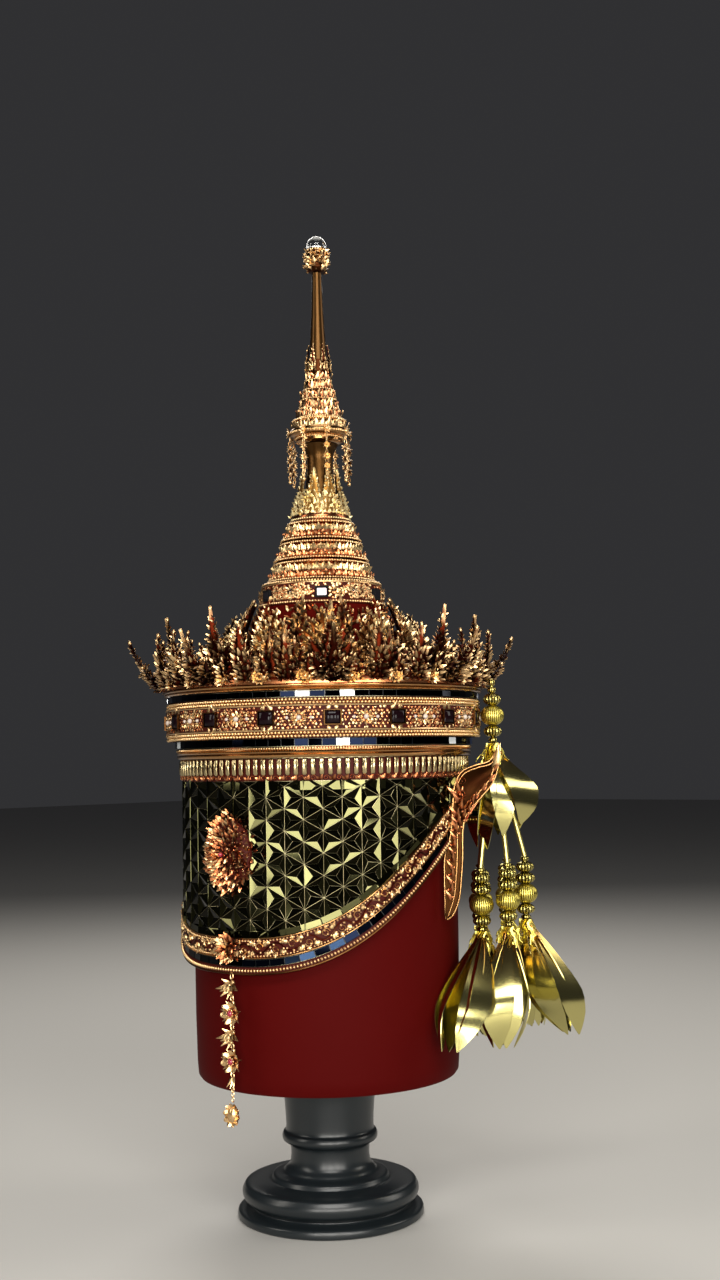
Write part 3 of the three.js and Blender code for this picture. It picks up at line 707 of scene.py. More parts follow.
# jewelled band: grain borders, wires, square stones in boxes, and sprays, scrolls and pearls between them
# spray rows are offset along, up, width, length and spin; curl rows are offset along, up, size and spin
jewels = {
    "count": 16, "mid": 317.9, "box": (5.3, 4.6, 2.2), "stone": (4.75, 4.1, 1.9),
    "ground": [(100.6, 305.8), (102.2, 305.8), (102.7, 309), (103.0, 317.9), (102.7, 327), (102.2, 330.1),
               (100.6, 330.1)],
    "borders": (306.9, 308.9, 326.9, 328.9), "borderGrains": 288, "wires": (310.5, 325.4),
    "sprays": [(3.3, 4.6, 3.2, 5.4, 0.6), (5.8, 1.8, 3, 5, 1.2)],
    "curls": [(-4.6, 2.9, 2.1, 0.3), (4.6, 2.9, 2.1, 1.5), (-4.6, -2.9, 2.1, 3.6), (4.6, -2.9, 2.1, 4.8),
              (-9.2, 3.1, 1.8, 2.1), (9.2, 3.1, 1.8, 0.2), (-9.2, -3.1, 1.8, 4.4), (9.2, -3.1, 1.8, 5.6)],
    "fillAcross": 240, "fillRows": 7, "fillLow": 312.0, "fillStep": 1.95, "clear": 5.6,
    "redBelow": 0.55, "giltBelow": 0.85,
}
bandGround = turnedRing(jewels["ground"], 240, 0.05)
borders = [seated(grain, evenly(jewels["borderGrains"], 0.5 * (i % 2)), 102.6, z, (1.18, 1.1, 1.3))
           for i, z in enumerate(jewels["borders"])]
wires = [rope(103.3, z, 0.55, 6) for z in jewels["wires"]]
stonePsi, gapPsi = evenly(jewels["count"]), evenly(jewels["count"], 0.5)


# square rings one over the other, each with a share of the width and a height, closed at both ends
def squareStack(rings, lift=1.0):
    corners = ((-1, -1), (1, -1), (1, 1), (-1, 1))
    last = 4 * len(rings) - 4
    ends = [[0, 3, 2, 1], [last, last + 1, last + 2, last + 3]]
    faces = [gridQuads(len(rings), 4, False, True)[:, ::-1], ends]
    points = [(x * k, y * k, z) for k, z in rings for x, y in corners]
    return shape(points, np.concatenate(faces), lift=lift)


# lift lowest inside the box and at its foot: painted shade
box = squareStack(((1, 0), (1, 1), (0.9, 1), (0.88, 0.5)), np.repeat([0.2, 0.4, 0.4, 0.1], 4))
cut = squareStack(((1, 0), (1, 0.4), (0.72, 1)))
boxes = seated(box, stonePsi, 102.8, jewels["mid"], jewels["box"])
stones = seated(cut, stonePsi, 103.4, jewels["mid"], jewels["stone"])
sprays = [seated(flameLeaf, stonePsi - sx * x / 104, 103.0, jewels["mid"] + sy * y, (w, l, 3.0),
                 -sx * spin if sy > 0 else np.pi + sx * spin)
          for x, y, w, l, spin in jewels["sprays"] for sy in (1, -1) for sx in (-1, 1)]
curls = [seated(scroll, gapPsi - x / 104, 103.1, jewels["mid"] + y, (size, size, 2.4), spin)
         for x, y, size, spin in jewels["curls"]]
pearlCup = rosettes(roundLeaf, gapPsi, 103.0, jewels["mid"], 8, (2.1, 3.4, 2.6), 1.6)
pearls = seated(pearl, gapPsi, 104.0, jewels["mid"], (1.6, 1.6, 1.4))
sidePearls = [seated(pearl, gapPsi + x / 104, 103.5, jewels["mid"], (1.05, 1.05, 1.0)) for x in (-7.4, 7.4)]
column, row = np.meshgrid(np.arange(jewels["fillAcross"]), np.arange(jewels["fillRows"]), indexing="ij")
column, row = column.ravel(), row.ravel()
fillCount = len(row)
fillPsi = (column + 0.5 * (row % 2) + rng.uniform(-0.25, 0.25, fillCount)) / jewels["fillAcross"] * tau
fillZ = jewels["fillLow"] + row * jewels["fillStep"] + rng.uniform(-0.4, 0.4, fillCount)
fromStone = np.abs((fillPsi * jewels["count"] / tau + 0.5) % 1 - 0.5) * 40.8
fillSize = rng.uniform(0.65, 1.3, fillCount)[:, None] * [1.0, 1.0, 1.15]
hue = np.where(fromStone > jewels["clear"], rng.uniform(0, 1, fillCount), -1)
hueRanges = ((0, jewels["redBelow"], redGilt), (jewels["redBelow"], jewels["giltBelow"], gilt),
             (jewels["giltBelow"], 1, paleGilt))
fills = []
for least, below, look in hueRanges:
    m = (hue >= least) & (hue < below)
    fills.append((seated(crumb, fillPsi[m], 102.9, fillZ[m], fillSize[m]), look))
bandGold = join(borders + wires + sprays + curls + [pearlCup])
jewelParts = [(bandGround, groundRed), (boxes, bronze), *fills, (bandGold, gilt), (stones, darkStone),
              (pearls, pearlWhite), (join(sidePearls), pearlWhite)]
addPiece("jewelBand", jewelParts, "jewel_band")


# ornament along the lower edge: the same rules, on the edge's own directions
def edged(s, psi, t, h, size, spin=0.0, pitch=0.0):
    psi, t, h, spin, pitch = np.broadcast_arrays(np.asarray(psi, float), t, h, spin, pitch)
    way, out, across = edgeAxes(psi)
    return copies(s, oriented(way, across, out, size, spin, pitch), onEdge(psi, t, h))


# bead rope on a red ground, with a bronze rim under it; sections are height above the edge and off the wall
beadRope = {
    "ground": [(0.2, 0.4), (0.0, 1.2), (0.3, 2.4), (1.2, 2.6), (3.2, 2.6), (4.1, 2.2), (4.2, 0.4)],
    "groundTones": [0.2, 0.3, 0.3, 0.1, 0.1, 0.2, 0.2],
    "rim": [(-0.3, 1.4), (-0.5, 2.2), (-0.1, 2.9), (0.5, 2.8), (0.5, 1.4)],
    # rimTones: lift lower on the rim's side towards the wall: painted shade
    "rimTones": [0.3, 0.6, 0.6, 0.4, 0.2],
    "step": 2.1, "at": (2.2, 2.4), "bead": (0.84, 1.2, 1.3),
}
ropePsi, _ = stepsAlongEdge(beadRope["step"])
ropeParts = [(edgeBand(beadRope["ground"], lift=beadRope["groundTones"]), groundRed),
             (edged(bead, ropePsi, *beadRope["at"], beadRope["bead"]), gilt),
             (edgeBand(beadRope["rim"], lift=beadRope["rimTones"]), bronze)]
addPiece("edgeBeadRope", ropeParts, "edge_bead_rope")

# strip of blue mirror tiles; in two stretches of the turn, in degrees, two of three are paler: painted
# reflections of the lights
edgeMirror = {"back": [(4.5, 0.35), (4.5, 1.5), (8.7, 1.5), (8.7, 0.35)], "step": 9.4, "at": (6.6, 1.3),
              "gap": 0.22, "half": 1.85, "depth": 0.8, "tilt": 0.04, "pale": [(20, 48), (250, 262)]}
stripPsi, pitch = stepsAlongEdge(edgeMirror["step"], edgeMirror["at"][0])
stripTiles = tiles(onEdge(stripPsi, *edgeMirror["at"]), *edgeAxes(stripPsi), pitch / 2 - edgeMirror["gap"],
                   edgeMirror["half"] * edgeStretch(stripPsi), edgeMirror["depth"], edgeMirror["tilt"])
turn = np.degrees(stripPsi) % 360
isPale = np.any([(turn > a) & (turn < b) for a, b in edgeMirror["pale"]], 0) & (np.arange(len(turn)) % 3 != 1)
stripParts = [(edgeBand(edgeMirror["back"]), blackLacquer), (pick(stripTiles, ~isPale), blueMirror),
              (pick(stripTiles, isPale), skyMirror)]
addPiece("edgeMirrors", stripParts, "edge_mirror_strip", 0)

# scroll foliage: a stem that waves along the band, a spiral in each bend, small leaves and grains beside it
# leaf rows are offset along, up, width, length and spin
foliage = {
    "step": 10.4, "mid": 15.3, "swing": 2.9, "grainStep": 2.1, "wires": (9.5, 21.2), "borders": (10.8, 19.9),
    "ground": [(9.0, 0.35), (9.0, 1.7), (10.2, 2.0), (15.3, 2.4), (20.4, 2.0), (21.7, 1.7), (21.7, 0.35)],
    "leaves": [(-2.9, 1.6, 3.0, 4.4, 0.8), (0.2, 3.2, 2.8, 3.2, 0.0), (3.0, 1.6, 3.0, 4.4, -0.8),
               (-3.6, -2.2, 2.6, 3.8, 2.2), (3.6, -2.4, 2.6, 3.8, -2.2)],
}
trimLines = [edgeBand(circle(6) * [0.6, -0.7] + [t, 2.2]) for t in foliage["wires"]]
bendPsi, _ = stepsAlongEdge(foliage["step"], foliage["mid"])
bendPsi = bendPsi[: len(bendPsi) // 2 * 2]
turn = np.where(np.arange(len(bendPsi)) % 2 == 0, 1.0, -1.0)
fine = np.arange(len(bendPsi) * 8) / 8
stemPsi = np.interp(fine, np.arange(len(bendPsi) + 1), np.append(bendPsi, bendPsi[0] + tau))
stemPath = onEdge(stemPsi, foliage["mid"] - foliage["swing"] * np.cos(np.pi * fine), 2.6)
stemWay = unit(np.roll(stemPath, -1, 0) - np.roll(stemPath, 1, 0))
stemOut = ringAxes(stemPsi)[1]
# stemTone: the stem darker on its side towards the wall: painted shade
stemTone = 0.12 * circle(6)[:, 1] + 0.12
stem = sweep(stemPath, np.cross(stemWay, stemOut), stemOut, circle(6), 0.45, 0.5, stemTone, True)
flip = np.where(turn > 0, 0.0, np.pi)
trimGold = [stem, edged(scroll, bendPsi, foliage["mid"] + 1.0 * turn, 2.4, (2.7, 2.7, 3.2), flip)]
trimGold += [edged(flameLeaf, bendPsi + x / 94 * turn, foliage["mid"] + t * turn, 2.3, (w, l, 2.6),
                   spin + flip, 0.05) for x, t, w, l, spin in foliage["leaves"]]
grainPsi, _ = stepsAlongEdge(foliage["grainStep"], foliage["mid"])
trimGold += [edged(grain, grainPsi, t, 2.3, (0.8, 0.75, 0.9)) for t in foliage["borders"]]
strewnAt = foliage["mid"] + 3.4 * np.sin(np.arange(len(grainPsi)) * 2.4)
trimGold.append(edged(grain, grainPsi, strewnAt, 2.3, (0.9, 0.9, 1.1)))
trimParts = [(edgeBand(foliage["ground"], lift=0.05), groundRed), (join(trimLines), polishedGold),
             (join(trimGold), gilt)]
addPiece("scrollTrim", trimParts, "scroll_trim")


# flower of leaves on a golden-angle spiral over an oval dome, each turned outwards with some disorder
# a share of them is red; the red and the gold leaves come back as two shapes
def spiralBoss(psi, r, z, wide, tall, high, count, size, seed, redShare):
    rng = np.random.default_rng(seed)
    reach = np.sqrt((np.arange(count) + 0.5) / count)
    theta = np.arange(count) * 2.39996
    ragged = reach * (1 + rng.normal(0, 0.06, count))
    psiAt = psi - wide * ragged * np.sin(theta) / (r + high / 2)
    rAt = r + high * np.clip(1 - reach**2, 0, 1) ** 0.7
    zAt = z + tall * ragged * np.cos(theta)
    sizes = np.asarray(size) * rng.uniform(0.7, 1.3, (count, 1))
    spin = theta + rng.normal(0, 0.5, count)
    pitch = rng.uniform(-0.1, 0.4, count) + 0.3 * (1 - reach)
    red = rng.uniform(0, 1, count) < redShare
    return [seated(tinyLeaf, psiAt[m], rAt[m], zAt[m], sizes[m], spin[m], pitch=pitch[m])
            for m in (red, ~red)]


medallion = dict(psi=rad(2.5), r=93.2, z=236.0, wide=18.0, tall=22.4, high=6.6, count=400,
                 size=(2.7, 3.5, 3.2), seed=8, redShare=0.75)
redLeaves, goldLeaves = spiralBoss(**medallion)
psi, r, z = (medallion[key] for key in ("psi", "r", "z"))
backing = seated(ballShape(32, 11, 0.1), [psi], r - 0.8, z, (18.0, 22.0, 6.4))
bud = seated(bead, [psi], r + 7.4, z, (1.5, 1.6, 1.6))
addPiece("backMedallion", [(backing, groundRed), (redLeaves, redGilt), (goldLeaves, gilt), (bud, roseStone)],
         "back_medallion")

edgeFlower = dict(psi=rad(3.0), r=95.4, z=179.0, wide=7.4, tall=7.0, high=2.8, count=80, size=(3.0, 3.8, 3.2),
                  seed=9, redShare=0.6)
redLeaves, goldLeaves = spiralBoss(**edgeFlower)
psi, r, z = (edgeFlower[key] for key in ("psi", "r", "z"))
backing = seated(ballShape(20, 7, 0.1), [psi], r - 0.6, z, (7.6, 7.0, 2.8))
rosetteParts = [(backing, groundRed), (redLeaves, redGilt), (goldLeaves, gilt)]
addPiece("edgeRosette", rosetteParts, "edge_rosette")


# a flame: rows of small leaves laid on a tapering plate, on one side or both, and a knob at its tip
# half gives half widths at shares of the length; lift falls to footTone at the foot, painted shade; mess
# scatters leaves
def stacked(length, half, row, leafLong, leafWide, pitch=0.2, bothSides=True, footTone=0.38, seed=1,
            mess=1.0):
    rng = np.random.default_rng(seed)
    at, width = np.asarray(half, float).T
    up = np.array([0, 0, 1.0])
    plate = leafShape(np.stack([at, 0.8 * width / length], -1), 0.0, 0.09)
    # the plate under the leaves gets a low lift, rising only near the tip: the recess colour in the gaps, as
    # painted shade
    plateTone = plate["lift"] * np.interp(plate["v"][:, 1], [0.6, 0.95], [0.12, 0.4])
    parts = [{**plate, "v": plate["v"] * length, "lift": plateTone}]
    for side in (1, -1)[: 2 if bothSides else 1]:
        y = np.arange(0.02 * length, 0.96 * length, row)
        w = np.interp(y / length, at, width)
        n = np.maximum(2, np.round(1.7 * w / leafWide).astype(int))
        f = np.concatenate([np.linspace(-1, 1, k) for k in n])
        y, w = np.repeat(y, n) - 0.8 * row * np.abs(f), np.repeat(w, n)
        y = np.clip(y + rng.uniform(-0.4, 0.4, len(f)) * row, 0, length)
        size = np.array([leafWide, leafLong, leafLong * 0.9]) * rng.uniform(0.7, 1.3, len(f))[:, None]
        size = size * np.clip(w / (0.6 * width.max()), 0.6, 1.1)[:, None]
        spin = -0.5 * f + rng.normal(0, 0.4 * mess, len(f))
        tilt = pitch + rng.normal(0, 0.3 * mess, len(f))
        along = np.stack([np.cos(spin), np.sin(spin), 0 * spin], -1)
        flat = np.stack([-np.sin(spin), np.cos(spin), 0 * spin], -1)
        c, k = np.cos(tilt)[:, None], np.sin(tilt)[:, None]
        turns = axesOf(along, flat * c + up * k, up * c - flat * k, size)
        places = np.stack([f * w * 0.76, y, 0.7 - 0.3 * np.abs(f)], -1)
        leaves = copies(tinyLeaf, turns, places, footTone + (1 - footTone) * y / length)
        parts.append(leaves if side > 0 else moved(leaves, leaves["v"] * [-1, 1, -1]))
    knob = placed(grain, [width[-1], 1.6 * width[-1], width[-1]], [0, length - width[-1], 0])
    return join(parts + [knob])


# a shape turned in its own plane about its foot, then moved
def leaning(s, turn, x, y, z):
    u, w, h = s["v"].T
    c, k = math.cos(turn), math.sin(turn)
    return moved(s, np.stack([x + u * c + w * k, y + w * c - u * k, h + z], -1))


# a flame with two shorter lobes that leave its foot to either side
def lobed(length, half, lobe, seed, turn=0.5, share=0.52, **more):
    main = stacked(length, half, 2.5, 3.9, 2.9, seed=seed, **more)
    wing = stacked(length * share, lobe, 2.5, 3.6, 2.7, seed=seed + 1, **more)
    wings = [leaning(wing, sign * turn, sign * 0.4 * half[0][1], 0.1 * length, -0.4) for sign in (1, -1)]
    return join([main] + wings)


# a palmette: lobes fanned from a foot, each a small flame; rows are turn, length and the lobe's foot
def palmette(lobes, seed):
    half = [(0, 1.7), (0.35, 3.3), (0.7, 2.3), (1, 0.7)]
    flames = [stacked(length, half, 2.2, 3.3, 2.5, 0.35, False, 0.75, seed=seed + k)
              for k, (_, length, _, _) in enumerate(lobes)]
    return join([leaning(s, turn, x, y, 0.4 * (k % 2))
                 for k, (s, (turn, _, x, y)) in enumerate(zip(flames, lobes))])


# a flat shape bent along a curve with three control points of radius and height (a quadratic Bezier)
def bent(s, length, curve):
    a, b, c = np.asarray(curve, float)
    t = (s["v"][:, 1] / length)[:, None]
    p = (1 - t) ** 2 * a + 2 * t * (1 - t) * b + t**2 * c
    d = unit((1 - t) * (b - a) + t * (c - b))
    return moved(s, np.concatenate([s["v"][:, :1], p + s["v"][:, 2:] * d[:, ::-1] * [1, -1]], 1))


# a shape given as across, radius and height, repeated at angles round the axis
def around(s, psi):
    return copies(s, axesOf(*ringAxes(psi)), np.zeros((len(psi), 3)))


# cresting: large flames that lean out, smaller ones beside them, a low row in front, a taller ring behind
# each row has the length of its flame and the curve that it is bent along
cresting = {
    "half": [(0, 6.4), (0.2, 7.8), (0.45, 5.4), (0.7, 2.9), (0.9, 1.8), (1, 1.1)],
    "lobe": [(0, 3.8), (0.3, 4.8), (0.7, 2.8), (1, 1.0)],
    "sideHalf": [(0, 4.8), (0.3, 5.6), (0.6, 3.8), (0.85, 2.0), (1, 1.0)],
    "lowHalf": [(0, 3.4), (0.3, 3.8), (0.7, 2.2), (1, 0.8)],
    "outer": (42, [(104.8, 340), (119.5, 349), (128, 372.5)]),
    "outerSide": (35, [(104.8, 340), (112, 352), (111, 375)]),
    "low": (17, [(105.2, 340.6), (108, 346), (108.4, 355.5)]),
    "inner": (45, [(96, 343), (100, 362), (103, 388)]),
    "innerSide": (34, [(96, 343), (98, 356), (95, 376)]),
    "outerRing": [(103.5, 338.4), (106.0, 338.4), (106.2, 340.4), (105.6, 342.4), (103.6, 342.4)],
    "innerRing": [(94.4, 342.4), (97.6, 342.4), (97.4, 345.2), (94.6, 345.4)],
    "count": 8, "sideTurn": rad(15), "lowCount": 48, "buds": 24, "budTurn": rad(1.3),
}
half, lobe, sideHalf = cresting["half"], cresting["lobe"], cresting["sideHalf"]
flamePsi = evenly(cresting["count"])
sidePsi = np.concatenate([flamePsi + cresting["sideTurn"], flamePsi - cresting["sideTurn"]])
length, curve = cresting["outer"]
outerFlames = around(bent(lobed(length, half, lobe, 1), length, curve), flamePsi)
length, curve = cresting["outerSide"]
sideFlames = around(bent(stacked(length, sideHalf, 2.5, 3.8, 2.8), length, curve), sidePsi)
length, curve = cresting["low"]
lowFlame = stacked(length, cresting["lowHalf"], 2.5, 3.6, 2.7, 0.4, False, 0.5, seed=12)
lowRow = around(bent(lowFlame, length, curve), evenly(cresting["lowCount"]))
length, curve = cresting["inner"]
innerFlames = around(bent(lobed(length, half, lobe, 6, footTone=0.3), length, curve), flamePsi)
length, curve = cresting["innerSide"]
innerSide = stacked(length, sideHalf, 2.5, 3.8, 2.8, footTone=0.3, seed=9)
innerSides = around(bent(innerSide, length, curve), evenly(cresting["count"], 0.5))
# ring tones: lift high on the outer faces, low where the rings meet the flames and the wall: painted shade
outerRing = turnedRing(cresting["outerRing"], 192, [0.4, 0.8, 0.6, 0.2, 0.1])
innerRing = turnedRing(cresting["innerRing"], 128, [0.3, 0.8, 0.8, 0.3])
budPsi = evenly(cresting["buds"], 0.5) - cresting["budTurn"]
buds = [seated(ballShape(14, 7, 0.45), budPsi, 104.8, 342.8, (5.4, 3.4, 2.6)),
        rosettes(tinyLeaf, budPsi, 105.9, 342.8, 11, (3.0, 3.4, 3.0), 3.0, pitch=0.3, tall=0.7),
        rosettes(tinyLeaf, budPsi, 106.8, 342.9, 7, (2.6, 2.8, 2.6), 0.9, pitch=0.5, tall=0.8)]
outerParts = [(outerRing, redGilt), (join([outerFlames, sideFlames, lowRow]), gilt), (join(buds), gilt)]
addPiece("outerCresting", outerParts, "cresting_outer")
innerParts = [(innerRing, redGilt), (join([innerFlames, innerSides]), gilt)]
addPiece("innerCresting", innerParts, "cresting_inner")

# dome: red lacquer, strewn with small leaves
dome = {
    "outside": [(103.2, 338.4), (103.2, 340.8), (90, 342.5), (66, 347), (56, 354), (49, 374), (41.6, 392.9)],
    "inside": [(38.5, 392.9), (46.5, 373), (53.5, 352.2), (65, 344.6), (89.5, 340.1), (98, 338.4)],
    "leaves": 640, "leafZ": (350, 391.5), "leaf": (2.8, 3.6, 3.0), "redShare": 0.6,
}
domeLine = smoothed(dome["outside"], 40)
domeShell = turnedRing(np.concatenate([domeLine, dome["inside"]]), 128)
rngDome = np.random.default_rng(14)
count = dome["leaves"]
leafZ = rngDome.uniform(*dome["leafZ"], count)
leafPsi = rngDome.uniform(0, tau, count)
leafR = np.interp(leafZ, domeLine[8:, 1], domeLine[8:, 0])
leafSize = np.array(dome["leaf"]) * rngDome.uniform(0.7, 1.25, (count, 1))
spin = rngDome.normal(0, 0.8, count)
red = rngDome.uniform(0, 1, count) < dome["redShare"]
redStrewn, goldStrewn = (seated(tinyLeaf, leafPsi[m], leafR[m], leafZ[m], leafSize[m], spin[m], 0.34, 0.3)
                         for m in (red, ~red))
domeParts = [(domeShell, redLacquer), (redStrewn, redGilt), (goldStrewn, gilt)]
addPiece("redDome", domeParts, "dome")

# leaves on the dome: tall palmettes, smaller ones in front, and flames that rise behind beside the collar
# lobe rows are turn, length and foot
domeLeaf = {
    "count": 12, "start": rad(42),
    "fan": [(0, 22, 0, 8), (0.38, 18, 1.6, 6.5), (-0.38, 18, -1.6, 6.5), (0.78, 15, 2.6, 4.5),
            (-0.78, 15, -2.6, 4.5), (1.2, 12, 3.2, 2.5), (-1.2, 12, -3.2, 2.5)],
    "lowFan": [(0, 17, 0, 4), (0.45, 13, 1.4, 3), (-0.45, 13, -1.4, 3), (0.95, 10, 2.2, 2),
               (-0.95, 10, -2.2, 2)],
    "tall": (30, [(66, 358), (65.5, 374), (57, 389)]),
    "low": (21, [(68.5, 349), (71, 358), (68, 370)]),
    "back": (46, [(58, 352), (57, 376), (46, 398)]),
    "ring": [(64.6, 347.6), (68.6, 347.6), (69.2, 349.2), (68.6, 350.8), (64.8, 350.6)],
}
tallPsi = domeLeaf["start"] + evenly(domeLeaf["count"])
betweenPsi = tallPsi + np.pi / domeLeaf["count"]
tallLeaves = around(bent(palmette(domeLeaf["fan"], 30), *domeLeaf["tall"]), tallPsi)
lowLeaf = bent(palmette(domeLeaf["lowFan"], 50), *domeLeaf["low"])
lowLeaves = around(lowLeaf, np.concatenate([betweenPsi, tallPsi]))
length, curve = domeLeaf["back"]
backLeaf = stacked(length, sideHalf, 2.6, 3.8, 2.8, 0.4, False, 0.4, seed=5)
backLeaves = around(bent(backLeaf, length, curve), betweenPsi)
# ring tones low at its top and bottom edges, high on its front: painted shade; the tall leaves take the paler
# gilt, a painted highlight
domeRing = turnedRing(domeLeaf["ring"], 128, [0.3, 0.8, 1, 0.8, 0.3])
leafParts = [(domeRing, redGilt), (tallLeaves, paleGilt), (join([lowLeaves, backLeaves]), gilt)]
addPiece("domeLeaves", leafParts, "dome_leaves")


# beads round a ring, as many as fit at a pitch
def beadRow(r, z, pitch, size):
    return seated(bead, evenly(int(tau * r / pitch)), r, z, size)


# upright leaves, each a little out of true
def leafRow(r, z, count, wide, tall, deep, lean=0.0, pitch=0.12, phase=0.0):
    rng = np.random.default_rng(count)
    spin = rng.normal(0, 0.14, count)
    return seated(pointedLeaf, evenly(count, phase), r, z, (wide, tall, deep), spin, lean,
                  pitch + rng.normal(0, 0.12, count))


# jewel collar: a drum strewn with grains, rose mirrors in dark frames, and flowers with a round stone between
collar = {
    "line": [(0, 393.2), (41.6, 393.2), (42.3, 394.2), (42.0, 395.4), (40.9, 396.2), (39.8, 405.8),
             (40.3, 406.8), (39.8, 408.6), (38.4, 409.4), (0, 409.4)],
    "start": rad(42), "stones": 6, "mid": 400.2, "flowerR": 40.6, "flowerZ": 401.0,
    "grains": 1100, "grainZ": (396.4, 406.0), "grain": (1.1, 1.1, 1.2), "clear": (4.9, 4.3),
}
collarBody = turnedSolid(collar["line"], 96, 0.3)
stonePsi = collar["start"] + evenly(collar["stones"])
between = stonePsi + np.pi / collar["stones"]
rngSpire = np.random.default_rng(5)
fillPsi = rngSpire.uniform(0, tau, collar["grains"])
fillZ = rngSpire.uniform(*collar["grainZ"], collar["grains"])
fillR = 41.0 - 0.115 * (fillZ - 396.2)
besideStone = np.abs((fillPsi - collar["start"] + np.pi / 6) % (np.pi / 3) - np.pi / 6) * 40
away = (besideStone > collar["clear"][0]) | (np.abs(fillZ - collar["mid"]) > collar["clear"][1])
redOnes = np.arange(collar["grains"]) % 5 < 2
collarRed, collarGrains = (seated(crumb, fillPsi[m], fillR[m], fillZ[m], collar["grain"])
                           for m in (away & redOnes, away & ~redOnes))
collarTrim = [beadRow(42.0, 394.4, 1.9, (0.95, 0.95, 0.95)), rope(39.8, 407.2, 0.7), collarGrains,
              beadRow(39.4, 408.4, 1.9, (0.9, 0.9, 0.9))]
flowerAt = (collar["flowerR"], collar["flowerZ"])
collarTrim.append(rosettes(flameLeaf, between, *flowerAt, 8, (2.6, 3.4, 2.6), 1.6, pitch=0.2))
collarTrim += [rosettes(flameLeaf, between + x, *flowerAt, 6, (2.2, 2.9, 2.2), 0.6, pitch=0.25)
               for x in (-0.17, 0.17, -0.30, 0.30)]
stoneAxes = ringAxes(stonePsi)
stoneFrame = tiles(polar(40.4, stonePsi, collar["mid"]), *stoneAxes, 4.2, 3.6, 1.9, 0.0)
stoneFace = tiles(polar(40.9, stonePsi, collar["mid"]), *stoneAxes, 2.8, 2.1, 1.5, 0.0)
roundStones = seated(pearl, between, 41.2, 401.0, (1.9, 1.9, 1.5))
collarParts = [(collarBody, groundRed), (join(collarTrim), gilt), (collarRed, redGilt),
               (stoneFrame, matteBlack), (stoneFace, roseMirror), (roundStones, clearCrystal)]
addPiece("jewelCollar", collarParts, "jewel_collar")

# three tiers, each narrower: a waisted body with low leaves and high leaves between bead rings
tierLooks = [{"z": (409.7, 423.6), "r": (37.4, 31.0), "leaves": 46},
             {"z": (423.9, 437.2), "r": (32.4, 26.2), "leaves": 38},
             {"z": (437.5, 451.0), "r": (27.6, 21.2), "leaves": 32}]
for number, tier in enumerate(tierLooks, 1):
    (z0, z1), (r0, r1), n = tier["z"], tier["r"], tier["leaves"]
    h = z1 - z0
    foot = [(0, z0), (r0 - 1.4, z0), (r0 - 0.8, z0 + 0.7), (r0 - 1.4, z0 + 1.6), (r0 - 3.4, z0 + 2.2)]
    waist = [(r0 - 5.8, z0 + 0.5 * h), (r1 - 0.6, z0 + 0.62 * h), (r1 - 0.6, z0 + 0.76 * h)]
    brim = [(r1 + 0.8, z0 + 0.84 * h), (r1 + 0.8, z0 + 0.94 * h), (r1 - 0.6, z1), (0, z1)]
    body = turnedSolid(foot + waist + brim, 96, 0.3)
    lean = math.atan2(1.4, 0.45 * h)
    low = [leafRow(r0 - 3.4, z0 + 1.6, n, 3.8, 0.36 * h, 4.2, lean, 0.2),
           leafRow(r0 - 3.8, z0 + 1.6, n, 2.6, 0.28 * h, 3.2, lean, 0.2, 0.5)]
    high = [leafRow(r0 - 6.0, z0 + 0.38 * h, n, 4.0, 0.45 * h, 4.6, lean, 0.24, 0.5),
            leafRow(r0 - 6.2, z0 + 0.4 * h, n, 2.9, 0.36 * h, 3.6, lean, 0.2)]
    trim = [beadRow(r0 - 1.0, z0 + 0.8, 1.8, (0.85, 0.8, 0.8)),
            beadRow(r1 + 0.9, z0 + 0.89 * h, 1.8, (0.85, 0.85, 0.85)),
            seated(grain, evenly(n * 2), r1 - 0.4, z0 + 0.69 * h, (0.9, 1.0, 0.9)),
            seated(bead, evenly(n, 0.5), r0 - 2.8, z0 + 3.0, (0.9, 1.2, 1.0))]
    # low leaves in red gilt and high leaves in the paler gilt: partly the work's own colours, partly painted
    # shade below and painted highlight above
    tierParts = [(body, redGilt), (join(low), redGilt), (join(trim), gilt), (join(high), paleGilt)]
    addPiece(f"spireTier{number}", tierParts, f"spire_tier_{number}")

neck = {"line": [(11, 451.3), (10.2, 464), (9.6, 476), (8.8, 488), (9.2, 497), (12.5, 504)]}
neckLine = np.concatenate([[(0, 451.3)], smoothed(neck["line"], 26), [(0, 504)]])
addPiece("spireNeck", [(turnedSolid(neckLine, 48), bronze)], "spire_neck")

# leaf collar: eight blades covered with fine leaves, on a moulded ring
skirt = {
    "half": [(0, 9.4), (0.3, 7.4), (0.5, 5.2), (0.75, 3.0), (1, 1.0)], "blades": 8,
    "length": 35, "curve": [(17.8, 453.4), (13.4, 469), (11.6, 487)],
    "ring": [(11.6, 451.3), (19.8, 451.3), (20.2, 452.6), (19.4, 455.4), (17.2, 457.4), (12.4, 457.4)],
}
blade = stacked(skirt["length"], skirt["half"], 2.0, 2.8, 2.2, 0.12, False, 0.95, 7, 0.9)
blades = around(bent(blade, skirt["length"], skirt["curve"]), evenly(skirt["blades"], 0.5))
skirtTrim = [blades, beadRow(19.8, 452.2, 1.8, (0.85, 0.85, 0.85)),
             leafRow(18.8, 453.0, 28, 3.6, 5.2, 3.0, 0.25)]
skirtParts = [(turnedRing(skirt["ring"], 64, 0.4), redGilt), (join(skirtTrim), fineGilt)]
addPiece("leafCollar", skirtParts, "leaf_collar")

